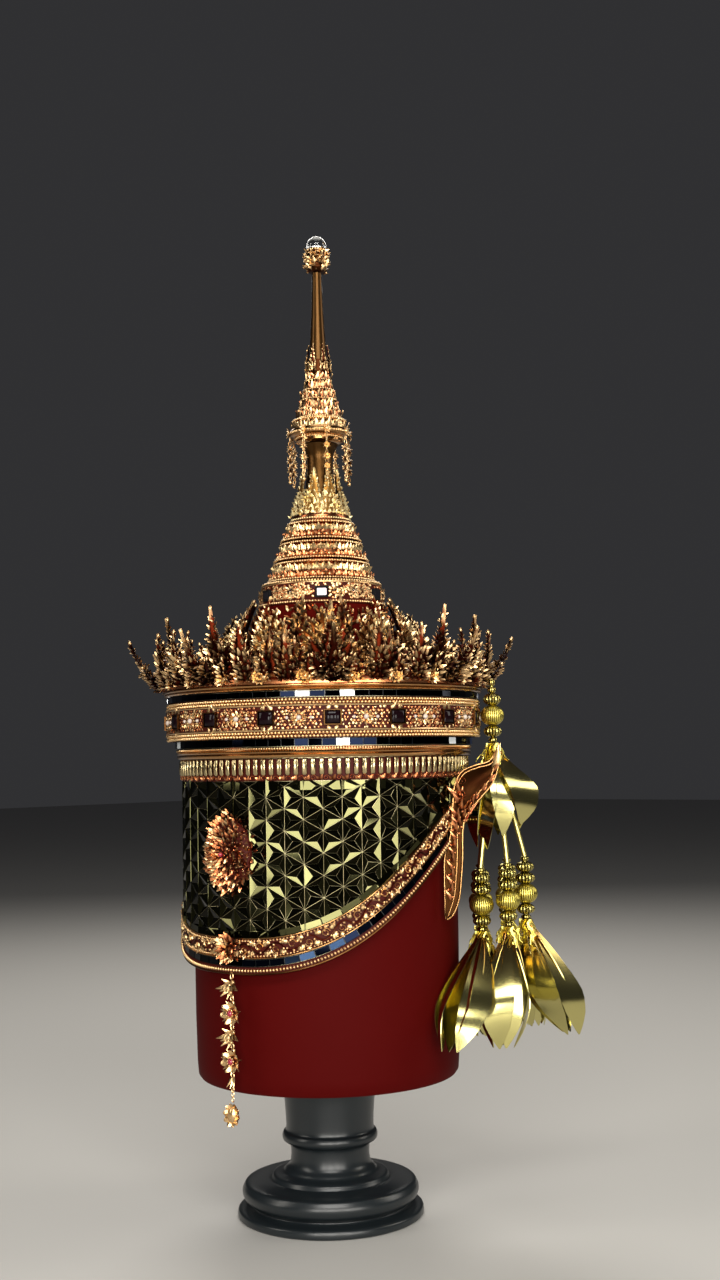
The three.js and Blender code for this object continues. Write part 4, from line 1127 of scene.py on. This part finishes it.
# parasol: a moulded disc with leaves above its brim and a small flower over each chain
parasol = {
    "line": [(0, 504.3), (12.5, 504.3), (14.2, 504.6), (16, 506), (15.6, 507.4), (16.4, 509), (19.6, 509.6),
             (20.4, 510.4), (20.4, 512.4), (19.6, 513.6), (18.0, 515), (17.4, 520.7), (0, 520.7)],
    "beads": [(16.0, 508.2, 1.7, (0.8, 0.8, 0.8)), (20.4, 511.4, 1.8, (0.85, 0.9, 0.85)),
              (17.8, 520.0, 1.7, (0.8, 0.8, 0.8))],
    "chains": 8, "chainTurn": rad(11),
}
chainPsi = evenly(parasol["chains"]) + parasol["chainTurn"]
parasolTrim = [beadRow(*row) for row in parasol["beads"]]
parasolTrim += [leafRow(18.4, 513.0, 22, 4.4, 7.0, 3.6, 0.2),
                leafRow(18.0, 512.6, 22, 3.2, 5.4, 3.0, 0.2, phase=0.5),
                rosettes(flameLeaf, chainPsi, 20.4, 511.6, 7, (2.6, 3.4, 2.6), 0.5, pitch=0.35),
                seated(bead, chainPsi, 21.2, 511.6, (1.6, 1.6, 1.4))]
parasolParts = [(turnedSolid(parasol["line"], 64), polishedGold), (join(parasolTrim), gilt)]
addPiece("parasolTop", parasolParts, "parasol")


# a link: a thin wire bent to an oval
def linkShape(thick=0.22):
    a = evenly(10)
    path = np.stack([0.72 * np.sin(a), np.cos(a), 0 * a], -1)
    way = unit(np.stack([0.72 * np.cos(a), -np.sin(a), 0 * a], -1))
    up = np.array([0.0, 0, 1])
    return sweep(path, np.cross(way, up), up, [(1, 0), (0, 1), (-1, 0), (0, -1)], thick, thick, closed=True)


# a cluster: leaves fanned to all sides on both faces of the chain, each tipped outwards
def cluster(psi, r, z, petals, size):
    psi = psi + np.repeat([0.0, np.pi], petals)
    spin = np.tile(evenly(petals), 2)[:, None]
    along, out, up = ringAxes(psi)
    x = along * np.cos(spin) + up * np.sin(spin)
    y = up * np.cos(spin) - along * np.sin(spin)
    turns = axesOf(x, y * 0.9 + out * 0.4, out * 0.9 - y * 0.4, size)
    return copies(flameLeaf, turns, np.repeat(polar(r, psi[:1], z), 2 * petals, 0))


# chains: round links that face by turns, clusters of leaves on both faces, and a drop at the end
# cluster rows are height, leaves and their size
link = linkShape()
chain = {"r": 20.4, "top": 508.6, "links": 10, "step": 2.9, "link": (1.3, 1.75, 1.3),
         "clusters": [(500.5, 6, 3.0), (493.0, 7, 3.2), (486.5, 6, 2.8)],
         "drop": [(0, -2.6), (1.0, -2.1), (1.3, -1.2), (0.9, -0.2), (0.4, 0.5), (0, 0.7)]}
linkZ = chain["top"] - 1.4 - np.arange(chain["links"]) * chain["step"]
for number, psi in enumerate(chainPsi, 1):
    sidePsi = np.repeat(psi, chain["links"] // 2)
    along, out, up = ringAxes(sidePsi)
    chainParts = [seated(link, sidePsi, chain["r"], linkZ[::2], chain["link"]),
                  copies(link, axesOf(-out, up, along, chain["link"]),
                         polar(chain["r"], sidePsi, linkZ[1::2]))]
    chainParts += [cluster(psi, chain["r"], z, n, (2.2, size, 2.4)) for z, n, size in chain["clusters"]]
    end = polar(chain["r"], psi, chain["top"] - 29.2)
    chainParts.append(placed(turnedSolid(chain["drop"], 10), (1, 1, 1), end))
    addPiece(f"spireChain{number}", [(join(chainParts), gilt)], f"spire_chain_{number}")

# cone: five rows of gold leaves over red ones, with beads at their feet and a ring of thin spikes at the top
# rows are radius, height, leaves, width and length
cone = {
    "line": [(0, 521), (15.8, 521), (14.8, 523), (13.0, 529), (10.6, 538), (8.4, 549), (7.6, 556), (7.3, 562),
             (6.9, 562), (6.9, 556), (0, 556)],
    "rows": [(15.2, 521.6, 22, 4.4, 7.2), (13.5, 528.0, 20, 4.2, 7.0), (11.6, 534.6, 17, 4.1, 6.8),
             (9.9, 541.4, 15, 4.0, 6.8), (8.4, 548.0, 13, 3.8, 6.4)],
    "spikeHalf": [(0, 2.3), (0.3, 1.9), (0.6, 1.2), (1, 0.4)], "spikes": 6, "spikeTurn": rad(12),
    "spikeLength": 19, "spikeCurve": [(7.4, 554), (6.9, 562), (6.1, 573.2)],
}
coneTrim = [leafRow(r, z, n, w * 0.86, l * 0.94, 3.8, 0.26, 0.04, 0.5 * (k % 2))
            for k, (r, z, n, w, l) in enumerate(cone["rows"])]
coneRed = [leafRow(r - 0.2, z, n, w * 0.9, l * 0.86, 3.4, 0.26, 0.12, 0.5 - 0.5 * (k % 2))
           for k, (r, z, n, w, l) in enumerate(cone["rows"])]
coneTrim += [beadRow(r, z, 1.7, (0.85, 0.8, 0.85)) for r, z, *_ in cone["rows"]]
spike = stacked(cone["spikeLength"], cone["spikeHalf"], 1.5, 1.9, 1.3, 0.1, False, 0.9, 3, 0.6)
spikePsi = evenly(cone["spikes"]) + cone["spikeTurn"]
coneTrim += [around(bent(spike, cone["spikeLength"], cone["spikeCurve"]), spikePsi),
             leafRow(7.4, 554.5, 10, 3.6, 6.6, 2.8, 0.1, 0.02, 0.5)]
coneParts = [(turnedSolid(cone["line"], 48, 0.15), bronze), (join(coneRed), redGilt), (join(coneTrim), gilt)]
addPiece("spireCone", coneParts, "spire_cone")

rod = {"line": [(6.3, 556.3), (5.6, 571), (4.8, 583), (4.0, 598), (3.5, 612), (3.3, 623)]}
rodLine = np.concatenate([[(0, 556.3)], smoothed(rod["line"], 24), [(0, 623)]])
addPiece("spireRod", [(turnedSolid(rodLine, 40), bronze)], "spire_rod")

# finial: a cup of three leaf rows with small leaves strewn between, and a round crystal in it
finial = {"line": [(4.4, 623.3), (6.6, 626), (6.8, 629), (6.2, 632), (6.8, 636), (6.6, 639.6)],
          "inside": [(4.8, 636.4), (0, 634.4)], "frills": 130, "frillZ": (625.0, 637.6),
          "gemR": 6.6, "gemZ": 641.9}
cupLine = smoothed(finial["line"], 18)
cup = turnedSolid(np.concatenate([[(0, 623.3)], cupLine, finial["inside"]]), 40, 0.2)
cupTrim = [leafRow(5.0, 624.2, 9, 4.4, 5.6, 4.6, 0.0, 0.3),
           leafRow(6.0, 628.0, 10, 4.2, 5.6, 4.2, 0.0, 0.15, 0.5),
           leafRow(6.0, 633.0, 10, 4.2, 5.8, 3.8, 0.1, 0.12), beadRow(6.6, 638.4, 2.0, (0.9, 1.0, 0.9))]
frillZ = rngSpire.uniform(*finial["frillZ"], finial["frills"])
frillPsi = rngSpire.uniform(0, tau, finial["frills"])
frillSpin = rngSpire.uniform(-2.4, 2.4, finial["frills"])
frillR = np.interp(frillZ, cupLine[:, 1], cupLine[:, 0])
cupTrim.append(seated(tinyLeaf, frillPsi, frillR, frillZ, (2.6, 3.2, 3.0), frillSpin, pitch=0.45))
addPiece("finialCup", [(cup, bronze), (join(cupTrim), gilt)], "finial_cup")
gem = placed(ballShape(32, 17), [finial["gemR"]] * 3, (0, 0, finial["gemZ"]))
addPiece("finialGem", [(gem, clearCrystal)], "finial_gem", 180)
print("crown and spire built")

# ear ornament: a sheet between an inner and an outer line of radius and height, dished, with rolled rims
# root rows are radius, height and spin of the leaves where the wing leaves the wall
ear = {
    "deg": 97.0, "twist": 0.35, "count": 64, "dish": 3.0,
    "outer": [(91.4, 191), (95.4, 194.5), (98.8, 204), (100.2, 216), (101.2, 230), (101.4, 241),
              (101.8, 248.5), (103.4, 255.7), (107.0, 261.4), (112.4, 268.2), (117.6, 275.5),
              (121.0, 285.5), (123.2, 302)],
    "inner": [(91.2, 190.8), (91.2, 197), (91.2, 206), (91.2, 217), (91.6, 230), (94.4, 241), (96.0, 252),
              (96.6, 263), (97.6, 274), (101.5, 283.2), (109, 287.4), (117.0, 290.4), (123.2, 302)],
    "across": [0, 0.08, 0.2, 0.35, 0.5, 0.65, 0.8, 0.92, 1],
    "half": [0.9, 1.3, 1.0, 0.8, 0.8, 0.8, 1.0, 1.3, 0.9],
    "root": [(98.2, 246, 0.1), (99.6, 250, -0.3), (101.2, 254, -0.7), (98.4, 255, 0.4), (100.4, 259.5, -0.5),
             (99.0, 264, 0.2), (101.6, 260, -0.9), (97.8, 268, 0.5), (99.4, 270.5, -0.2),
             (103.6, 258.6, -0.8), (105.8, 263.0, -0.7)],
}


# angle of the ear's sheet: it turns back a little with every millimetre further out
def earPsi(r):
    return rad(ear["deg"] + ear["twist"] * (r - 92))


# place on the ear: radius and height on its sheet, then off it towards the back
def onEar(r, z, off):
    return polar(r, earPsi(r), z) - ringAxes(earPsi(r))[0] * np.asarray(off)[..., None]


# ornament on one face of the ear, the same on both when side changes sign
def earSet(s, r, z, size, spin=0.0, side=1, pitch=0.1, off=1.0):
    r, z, spin, pitch = np.broadcast_arrays(np.asarray(r, float), z, spin, pitch)
    along, out, up = ringAxes(earPsi(r))
    turns = oriented(out * side, up, -along * side, size, spin * side, pitch)
    return copies(s, turns, onEar(r, z, 0 * r + off * side))


# a rolled rim: a round wire along a line on the ear
def earTube(line, thick, off):
    path = onEar(line[:, 0], line[:, 1], off + 0 * line[:, 0])
    way = unit(np.gradient(path, axis=0))
    side = unit(np.cross(way, -ringAxes(earPsi(line[:, 0]))[0]))
    return sweep(path, side, np.cross(side, way), circle(8), thick, thick)


# a line moved from one border towards the other by a distance, at most 0.42 of the way
def towards(start, end, distance):
    gap = np.maximum(np.linalg.norm(end - start, axis=1), 0.1)
    return start + (end - start) * np.clip(distance / gap, 0, 0.42)[:, None]


outerLine, innerLine = smoothed(ear["outer"], ear["count"]), smoothed(ear["inner"], ear["count"])
w = np.linspace(0, 1, ear["count"])
dish = ear["dish"] * np.clip((w - 0.5) / 0.2, 0, 1) * np.clip((1 - w) / 0.15, 0, 1)
across = np.array(ear["across"] + ear["across"][::-1])
thick = np.array(ear["half"] + [-x for x in ear["half"][::-1]])
share = across[None, :, None]
line = innerLine[:, None] * (1 - share) + outerLine[:, None] * share
off = thick[None] - dish[:, None] * np.sin(np.pi * across)[None]
# sheetTone: lift lighter where the sheet swells by its rims, darker in the dished middle: painted light and
# shade
sheetTone = np.clip(0.1 + np.abs(thick[::-1]) * 0.4, 0, 1)
sheet = skin(onEar(line[1:-1, :, 0], line[1:-1, :, 1], off[1:-1])[:, ::-1], sheetTone)
rimThick = np.interp(w, [0, 0.1, 0.9, 1], [0.4, 0.6, 0.6, 0.5])[1:-1]
inset, upper = towards(outerLine, innerLine, 2.6), towards(innerLine, outerLine, 2.0)
rims = [earTube(outerLine[1:-1], rimThick, 0.6), earTube(innerLine[1:-1], rimThick, 0.6),
        earTube(inset[4:-4], 0.5, 1.2), earTube(upper[38:-5], 0.45, 1.2)]
middle = 0.5 * (outerLine + innerLine)
bladeZ = np.arange(204, 258, 4.6)
bladeR = np.interp(bladeZ, middle[:, 1], middle[:, 0]) - 0.5
sway = np.where(np.arange(len(bladeZ)) % 2 == 0, 1, -1)
rootR, rootZ, rootSpin = np.array(ear["root"]).T
tipR, tipZ = inset[36:60:4].T
earLeaves = []
for side in (1, -1):
    earLeaves += [earSet(flameLeaf, bladeR, bladeZ, (3.4, 7.4, 4.0), 0.35 * sway, side, 0.15),
                  earSet(grain, bladeR + 1.4 * sway, bladeZ + 1.5, (0.9, 1.1, 1.0), 0, side, 0, 1.2),
                  earSet(scroll, [100.6], [268.6], (4.2, 4.2, 5.0), 2.2, side, 0, 1.2),
                  earSet(scroll, [101.4], [277.6], (2.6, 2.6, 3.4), 0.4, side, 0, 1.2),
                  earSet(flameLeaf, rootR, rootZ, (4.4, 9.0, 5.0), rootSpin, side, 0.25),
                  earSet(grain, rootR + 1.6, rootZ - 1.0, (1.1, 1.1, 1.2), 0, side, 0, 1.4),
                  earSet(pointedLeaf, tipR, tipZ, (3.0, 6.0, 2.6), -0.65, side, 0.1, 0.6)]
tipLeaf = join([earSet(pointedLeaf, [118.6], [284.0], (5.6, 17.5, 4.0), -0.24, side, 0.0, 0.4)
                for side in (1, -1)])
rightEar = [(sheet, earSheet), (tipLeaf, paleGilt), (join(rims), polishedGold), (join(earLeaves), redGilt)]
addPiece("rightEar", rightEar, "ear_ornament_right", 60)
addPiece("leftEar", [(mirrored(s), m) for s, m in rightEar], "ear_ornament_left", 60)

# strand at the nape: leaf sprays and stone-set flowers by turns, hooked together, with a drop
# leaf rows of a spray are spin, length and depth; its beads have offsets along and up
strand = {
    "psi": rad(4.0), "r": 94.5, "gap": 0.3,
    "leaves": [(1.75, 9.8, 0.6), (-1.75, 9.8, 0.6), (2.5, 8.2, 1.6), (-2.5, 8.2, 1.6), (3.14, 8.4, 0.8),
               (0.75, 7.0, 1.0), (-0.75, 7.0, 1.0), (2.1, 6.4, 2.0), (-2.1, 6.4, 2.0)],
    "beads": [(0, 1.5), (-2.4, 3.4), (2.4, 3.4), (0, -2.4)],
}
at, strandR = np.array([strand["psi"]]), strand["r"]


# leaves fanned out and down from one point, with beads at their root
def spray(z):
    leaves = [seated(flameLeaf, at, strandR + deep, z + 1.0, (5.0, long, 4.6), spin, pitch=0.3)
              for spin, long, deep in strand["leaves"]]
    return leaves + [seated(bead, at + x / 94, strandR + 1.8, z + y, (1.3, 1.3, 1.3))
                     for x, y in strand["beads"]]


# two rings of leaves, the outer ones between the inner, with grains round the seat of a stone
def stoneFlower(z):
    return [rosettes(roundLeaf, at, strandR, z, 7, (4.6, 5.8, 4.4), 2.0, pitch=0.3),
            rosettes(flameLeaf, at, strandR - 0.5, z, 7, (3.6, 7.4, 3.4), 1.0, 0.5, 0.15),
            rosettes(grain, at, strandR + 2.2, z, 9, (0.7, 0.7, 0.7), 2.4)]


# a link that hooks one ornament of the strand to the next
def hook(z):
    return seated(link, at, strandR, z, (1.5, 2.0, 1.5))


top = edgeZ(strand["psi"]) - strand["gap"]
for name, node, length, build in (("napeSpray1", "nape_spray_1", 16, spray),
                                  ("napeFlower1", "nape_flower_1", 14, stoneFlower),
                                  ("napeSpray2", "nape_spray_2", 14, spray),
                                  ("napeFlower2", "nape_flower_2", 14, stoneFlower)):
    centre = top - length / 2
    parts = [(join(build(centre) + [hook(top - 1.2), hook(top - length + 1.6)]), gilt)]
    if build is stoneFlower:
        parts.append((seated(pearl, at, strandR + 1.6, centre, (2.1, 2.1, 1.9)), roseStone))
    addPiece(name, parts, node)
    top -= length + strand["gap"]
dropZ = top - 24.5
dropParts = [hook(top - 1.6)]
dropParts += [seated(flameLeaf, at, strandR, top - 2.0, (3.2, 7.0, 3.4), spin, pitch=0.2)
              for spin in (2.7, -2.7, 3.14)]
dropParts += [seated(link, at, strandR, top - y, (1.2, 1.7, 1.2)) for y in (9.6, 12.4, 15.2)]
dropParts += [rosettes(roundLeaf, at, strandR, dropZ, 9, (4.0, 4.4, 4.0), 2.2, pitch=0.35, tall=1.5),
              seated(pearl, at, strandR + 0.4, dropZ, (3.6, 5.4, 2.8)),
              rosettes(roundLeaf, at, strandR - 0.6, dropZ, 9, (3.6, 4.2, 3.6), 1.8, 0.5, 0.1, 1.7)]
addPiece("napeDrop", [(join(dropParts), gilt)], "nape_drop")
print("ears and nape strand built")


# a ribbed bead: a ball whose sides go in and out by a cosine of the turn, with painted shade in the grooves
# through its lift
def ribbed(ribs, rings, deep):
    s = ballShape(ribs * 4, rings)
    x, y, _ = s["v"].T
    wave = np.cos(ribs * np.arctan2(y, x))
    scale = 1 - deep * (1 - wave) * np.minimum(1, np.hypot(x, y) * 2)
    return {**s, "v": s["v"] * np.stack([scale, scale, 1 + 0 * scale], -1), "lift": 0.5 + 0.5 * wave}


# beads threaded from a height downwards; rows are half width and height
# the small and the big ones come back as two lists, with the height of the lower end
def threaded(beads, top, place):
    small, big = [], []
    for half, height in beads:
        kind = bigBead if half > 7 else smallBead if half > 4 else tinyBead
        centre = place + [0, 0, top - height / 2]
        (big if half > 7 else small).append(placed(kind, (half, half, height * 0.53), centre))
        top -= height
    return small, big, top


# wires: thin three-sided tubes that leave a neck downwards, splay out by chance and sway by sines
def fringe(top, place, count, long, spread, seed):
    rng = np.random.default_rng(seed)
    turns = rng.uniform(0, tau, count)
    longs = rng.uniform(0.6, 1.1, count) * long
    spreads = rng.uniform(0.5, 1.2, count) * spread
    t = np.linspace(0, 1, 7)[:, None]
    wires = []
    for a, l, s in zip(turns, longs, spreads):
        way = np.array([math.cos(a), math.sin(a), 0])
        side = np.array([-math.sin(a), math.cos(a), 0])
        outwards = way * (3.4 + s * t**1.3 + 0.7 * np.sin(8 * t + 3 * a))
        path = place + outwards + side * 1.2 * np.sin(9 * t + a) + np.array([0, 0, 1.0]) * (top - l * t)
        wires.append(sweep(path, -side, way, [(1, 0), (-0.5, 0.87), (-0.5, -0.87)], 0.4, 0.4))
    return join(wires)


# one petal cut from foil: its line leaves the neck, swells and closes in, and its width goes by a table
# swell scales the reach of its lower part, twist tips it sideways and slant shifts it with the drop
# lift holds the petal's number plus the share of its length, which the foil's look reads
def petal(line, width, turn, swell, twist, axis, slant, top, index):
    count = 16
    path = smoothed(line, count)
    w = np.linspace(0, 1, count)
    half = np.interp(w, petalWidth["at"], petalWidth["share"]) * width
    u = np.array([-1, -0.55, 0, 0.55, 1])
    out = np.array([math.cos(turn), math.sin(turn), 0])
    way = np.array([-math.sin(turn), math.cos(turn), 0])
    over = np.concatenate([u, u[::-1]])
    depth = np.concatenate([0 * u, 0 * u - 0.5])
    side = over[None] * half[:, None]
    bow = depth[None] - 0.012 * np.abs(side)
    spread = np.interp(w, [0, 0.2, 0.6], [1, 1, swell])[:, None]
    reach = path[:, :1] * spread + bow + twist * side * w[:, None]
    drop = path[:, 1:]
    shift = np.stack([slant[0] * drop, slant[1] * drop, top - drop], -1)
    s = skin(axis + reach[..., None] * out + side[..., None] * way + shift)
    return {**s, "lift": index + np.concatenate([np.repeat(w, len(over)), [0, 1]])}


petalWidth = {"at": [0, 0.12, 0.3, 0.5, 0.62, 0.8, 0.92, 1],
              "share": [0.2, 0.24, 0.6, 0.94, 1, 0.72, 0.36, 0.04]}
bigBead, smallBead, tinyBead = ribbed(30, 11, 0.022), ribbed(16, 7, 0.05), ribbed(10, 5, 0.05)

# tassel: a string of beads with a foil flower, and under it five strings with a flower each
# petal rows are turn from the tassel's outward side, width, swell, drop and twist
tassel = {
    "deg": 122.0, "r": 112.1, "top": 343.5, "flowerTop": 300.6, "fringeTop": 301.4,
    "core": [(0, 301.4), (1.1, 301.4), (1.1, 343.4), (0, 343.4)],
    "beads": [(2.6, 5), (3.1, 4.5), (5.9, 8), (7.7, 13), (6, 7.6), (3.1, 4)],
    "line": [(3, 0), (5, 7), (9.5, 15), (15, 24), (18.4, 34), (18.6, 45), (15.5, 56)],
    "petals": [(-30, 11.0, 1.3, 0.92, 0.55), (-66, 8.0, 0.95, 1.05, 0.3), (-112, 9.0, 0.8, 1.2, 0.2),
               (22, 9.0, 1.05, 1.0, -0.2), (84, 8.6, 0.8, 1.06, 0.1), (145, 8.6, 0.75, 1.1, 0.0),
               (208, 9.0, 0.85, 1.18, -0.2)],
}
tasselAxis = polar(tassel["r"], rad(tassel["deg"]), 0.0)
tasselOut, tasselForward = polar(1, rad(tassel["deg"]), 0.0), polar(1, rad(tassel["deg"] + 90), 0.0)
small, big, _ = threaded(tassel["beads"], tassel["top"], tasselAxis)
core = placed(turnedSolid(tassel["core"], 10), (1, 1, 1), tasselAxis)
stringParts = [(join(small + [core]), beadGold), (join(big), woundGold)]
addPiece("tasselTopString", stringParts, "tassel_top_string")
petals = []
for index, (turn, wide, swell, drop, twist) in enumerate(tassel["petals"]):
    line = np.array(tassel["line"]) * [1, drop]
    turn = rad(tassel["deg"] + 90 + turn)
    petals.append(petal(line, wide, turn, swell, twist, tasselAxis, (0, 0), tassel["flowerTop"], index))
wires = fringe(tassel["fringeTop"], tasselAxis, 40, 15, 7, 3)
addPiece("tasselTopFlower", [(join(petals), foil), (wires, woundGold)], "tassel_top_flower")

# lower strings: rows are the angle where the rod leaves the throat, offsets outwards and forwards, the height
# of the first bead, the slant of the flower outwards and forwards, and the length of its petals
lower = {
    "beads": [(3, 3.4), (6, 7), (6.6, 7.4), (7.9, 12.6), (6, 7), (3.4, 3.6)],
    "line": [(2.4, 0), (3.6, 7), (8.6, 20), (13.2, 36), (14.0, 48), (11.2, 60), (6.4, 72)],
    "strings": [(235, -9, -13, 222, (-0.25, -0.66), 0.92), (302, 8, -13, 225, (-0.06, -0.22), 1),
                (9, 18.5, 3, 228, (0.38, 0.04), 1), (144, -11, 8, 223, (0.02, 0.2), 1),
                (71, 6, 17, 226, (0.2, 0.4), 1)],
    "petals": 7, "width": 10.2, "swell": (1.12, 0.7), "throatR": 3.4, "throatZ": 288.4, "rod": 1.6,
}
rngPetal = np.random.default_rng(21)
for number, (throat, outwards, forwards, top, slant, long) in enumerate(lower["strings"], 1):
    place = tasselAxis + outwards * tasselOut + forwards * tasselForward
    throatWay = math.cos(rad(throat)) * tasselOut + math.sin(rad(throat)) * tasselForward
    start = tasselAxis + lower["throatR"] * throatWay
    small, big, bottom = threaded(lower["beads"], top, place)
    path = np.array([start + [0, 0, lower["throatZ"]], place + [0, 0, top + 0.4], place + [0, 0, bottom]])
    rodTube = sweep(path, (1, 0, 0), (0, -1, 0), circle(8) * [1, -1], lower["rod"], lower["rod"])
    stringParts = [(join(small), beadGold), (join(big), woundGold), (rodTube, foilRod)]
    addPiece(f"tasselString{number}", stringParts, f"tassel_string_{number}")
    lean = slant[0] * tasselOut + slant[1] * tasselForward
    line = np.array(lower["line"]) * [1, long]
    petals = []
    for k in range(lower["petals"]):
        turn = rngPetal.uniform(-0.15, 0.15) + k * tau / lower["petals"] + 0.9 * number
        swell = lower["swell"][k % 2] + rngPetal.uniform(-0.1, 0.06)
        twist = rngPetal.uniform(-0.4, 0.4)
        index += 1
        petals.append(petal(line, lower["width"], turn, swell, twist, place, lean[:2], bottom - 0.3, index))
    wires = fringe(bottom + 0.6, place, 42, 15, 5, 40 + number)
    flowerParts = [(join(petals), foil), (wires, woundGold)]
    addPiece(f"tasselFlower{number}", flowerParts, f"tassel_flower_{number}")
print("tassel built")

# floor: a plain square under the stand
floorLook = {"half": 8.0, "color": (0.46, 0.45, 0.43), "rough": 0.6}
half = floorLook["half"]
floorMesh = bpy.data.meshes.new("floor")
floorCorners = [(-half, -half, 0), (half, -half, 0), (half, half, 0), (-half, half, 0)]
floorMesh.from_pydata(floorCorners, [], [(0, 1, 2, 3)])
floorMesh.materials.append(plainFinish("floor", floorLook["color"], floorLook["rough"]))
floor = bpy.data.objects.new("floor", floorMesh)
bpy.context.scene.collection.objects.link(floor)
world = bpy.data.worlds.new("studio")
world.use_nodes = True
background = world.node_tree.nodes["Background"]
background.inputs["Color"].default_value = (0.03, 0.03, 0.032, 1)
background.inputs["Strength"].default_value = 1.0
bpy.context.scene.world = world
bpy.context.scene.view_settings.view_transform = "Standard"

# camera: azimuth counted from the front; pitch, yaw and roll in degrees; focus in pixels of the picture
cameraPlace = {"azimuth": 222.0, "distance": 1.0, "height": 0.292, "pitchUp": 4.57, "yawRight": 1.36,
               "roll": 1.0, "sensor": 36, "focus": 1500, "pictureWide": 1280}
# softboxes: azimuth from the camera, positive to the right, elevation, distance, width, height, power, tint
softboxes = {
    "strip1": (-18, 2, 1.7, 0.22, 0.6, 7.4, (1, 0.97, 0.91)),
    "strip2": (0.3, 2, 1.7, 0.42, 0.6, 10, (1, 0.97, 0.91)),
    "strip3": (19.6, 2, 1.7, 0.22, 0.6, 7.4, (1, 0.97, 0.91)),
    "strip4": (34, 2, 1.7, 0.2, 0.6, 4.5, (1, 0.97, 0.91)),
    "highBox": (2, 34, 1.7, 1.1, 0.34, 17, (1, 0.98, 0.93)),
    "leftBox": (-72, 22, 1.5, 0.3, 1.0, 5.5, (1, 0.95, 0.86)),
    "rightBox": (92, 25, 1.5, 0.5, 1.0, 7, (1, 0.95, 0.86)),
    "topBox": (20, 80, 1.4, 0.9, 0.9, 4, (1, 0.98, 0.94)),
    "backBox": (180, 40, 1.7, 1.0, 0.7, 16, (1, 0.96, 0.9)),
}
crownMiddle = np.array([0, 0, 0.30])
# each softbox stands at its distance from the middle of the crown and looks at it
for name, (azimuth, elevation, distance, width, height, power, tint) in softboxes.items():
    a, e = math.radians(cameraPlace["azimuth"] + azimuth), math.radians(elevation)
    way = np.array([math.sin(a) * math.cos(e), -math.cos(a) * math.cos(e), math.sin(e)])
    light = bpy.data.lights.new(name, "AREA")
    light.shape = "RECTANGLE"
    light.size, light.size_y = width, height
    light.energy, light.color = power, tint
    lamp = bpy.data.objects.new(name, light)
    bpy.context.scene.collection.objects.link(lamp)
    lamp.location = crownMiddle + way * distance
    lamp.rotation_euler = Vector(way).to_track_quat("Z", "Y").to_euler()

cameraData = bpy.data.cameras.new("camera")
cameraData.sensor_width = cameraPlace["sensor"]
cameraData.lens = cameraPlace["sensor"] * cameraPlace["focus"] / cameraPlace["pictureWide"]
cameraData.clip_start, cameraData.clip_end = 0.01, 50
camera = bpy.data.objects.new("camera", cameraData)
bpy.context.scene.collection.objects.link(camera)
a, distance = math.radians(cameraPlace["azimuth"]), cameraPlace["distance"]
camera.location = (distance * math.sin(a), -distance * math.cos(a), cameraPlace["height"])
camera.rotation_mode = "XYZ"
camera.rotation_euler = (math.radians(90 + cameraPlace["pitchUp"]), math.radians(cameraPlace["roll"]),
                         a - math.radians(cameraPlace["yawRight"]))
bpy.context.scene.camera = camera

print("scene ready")
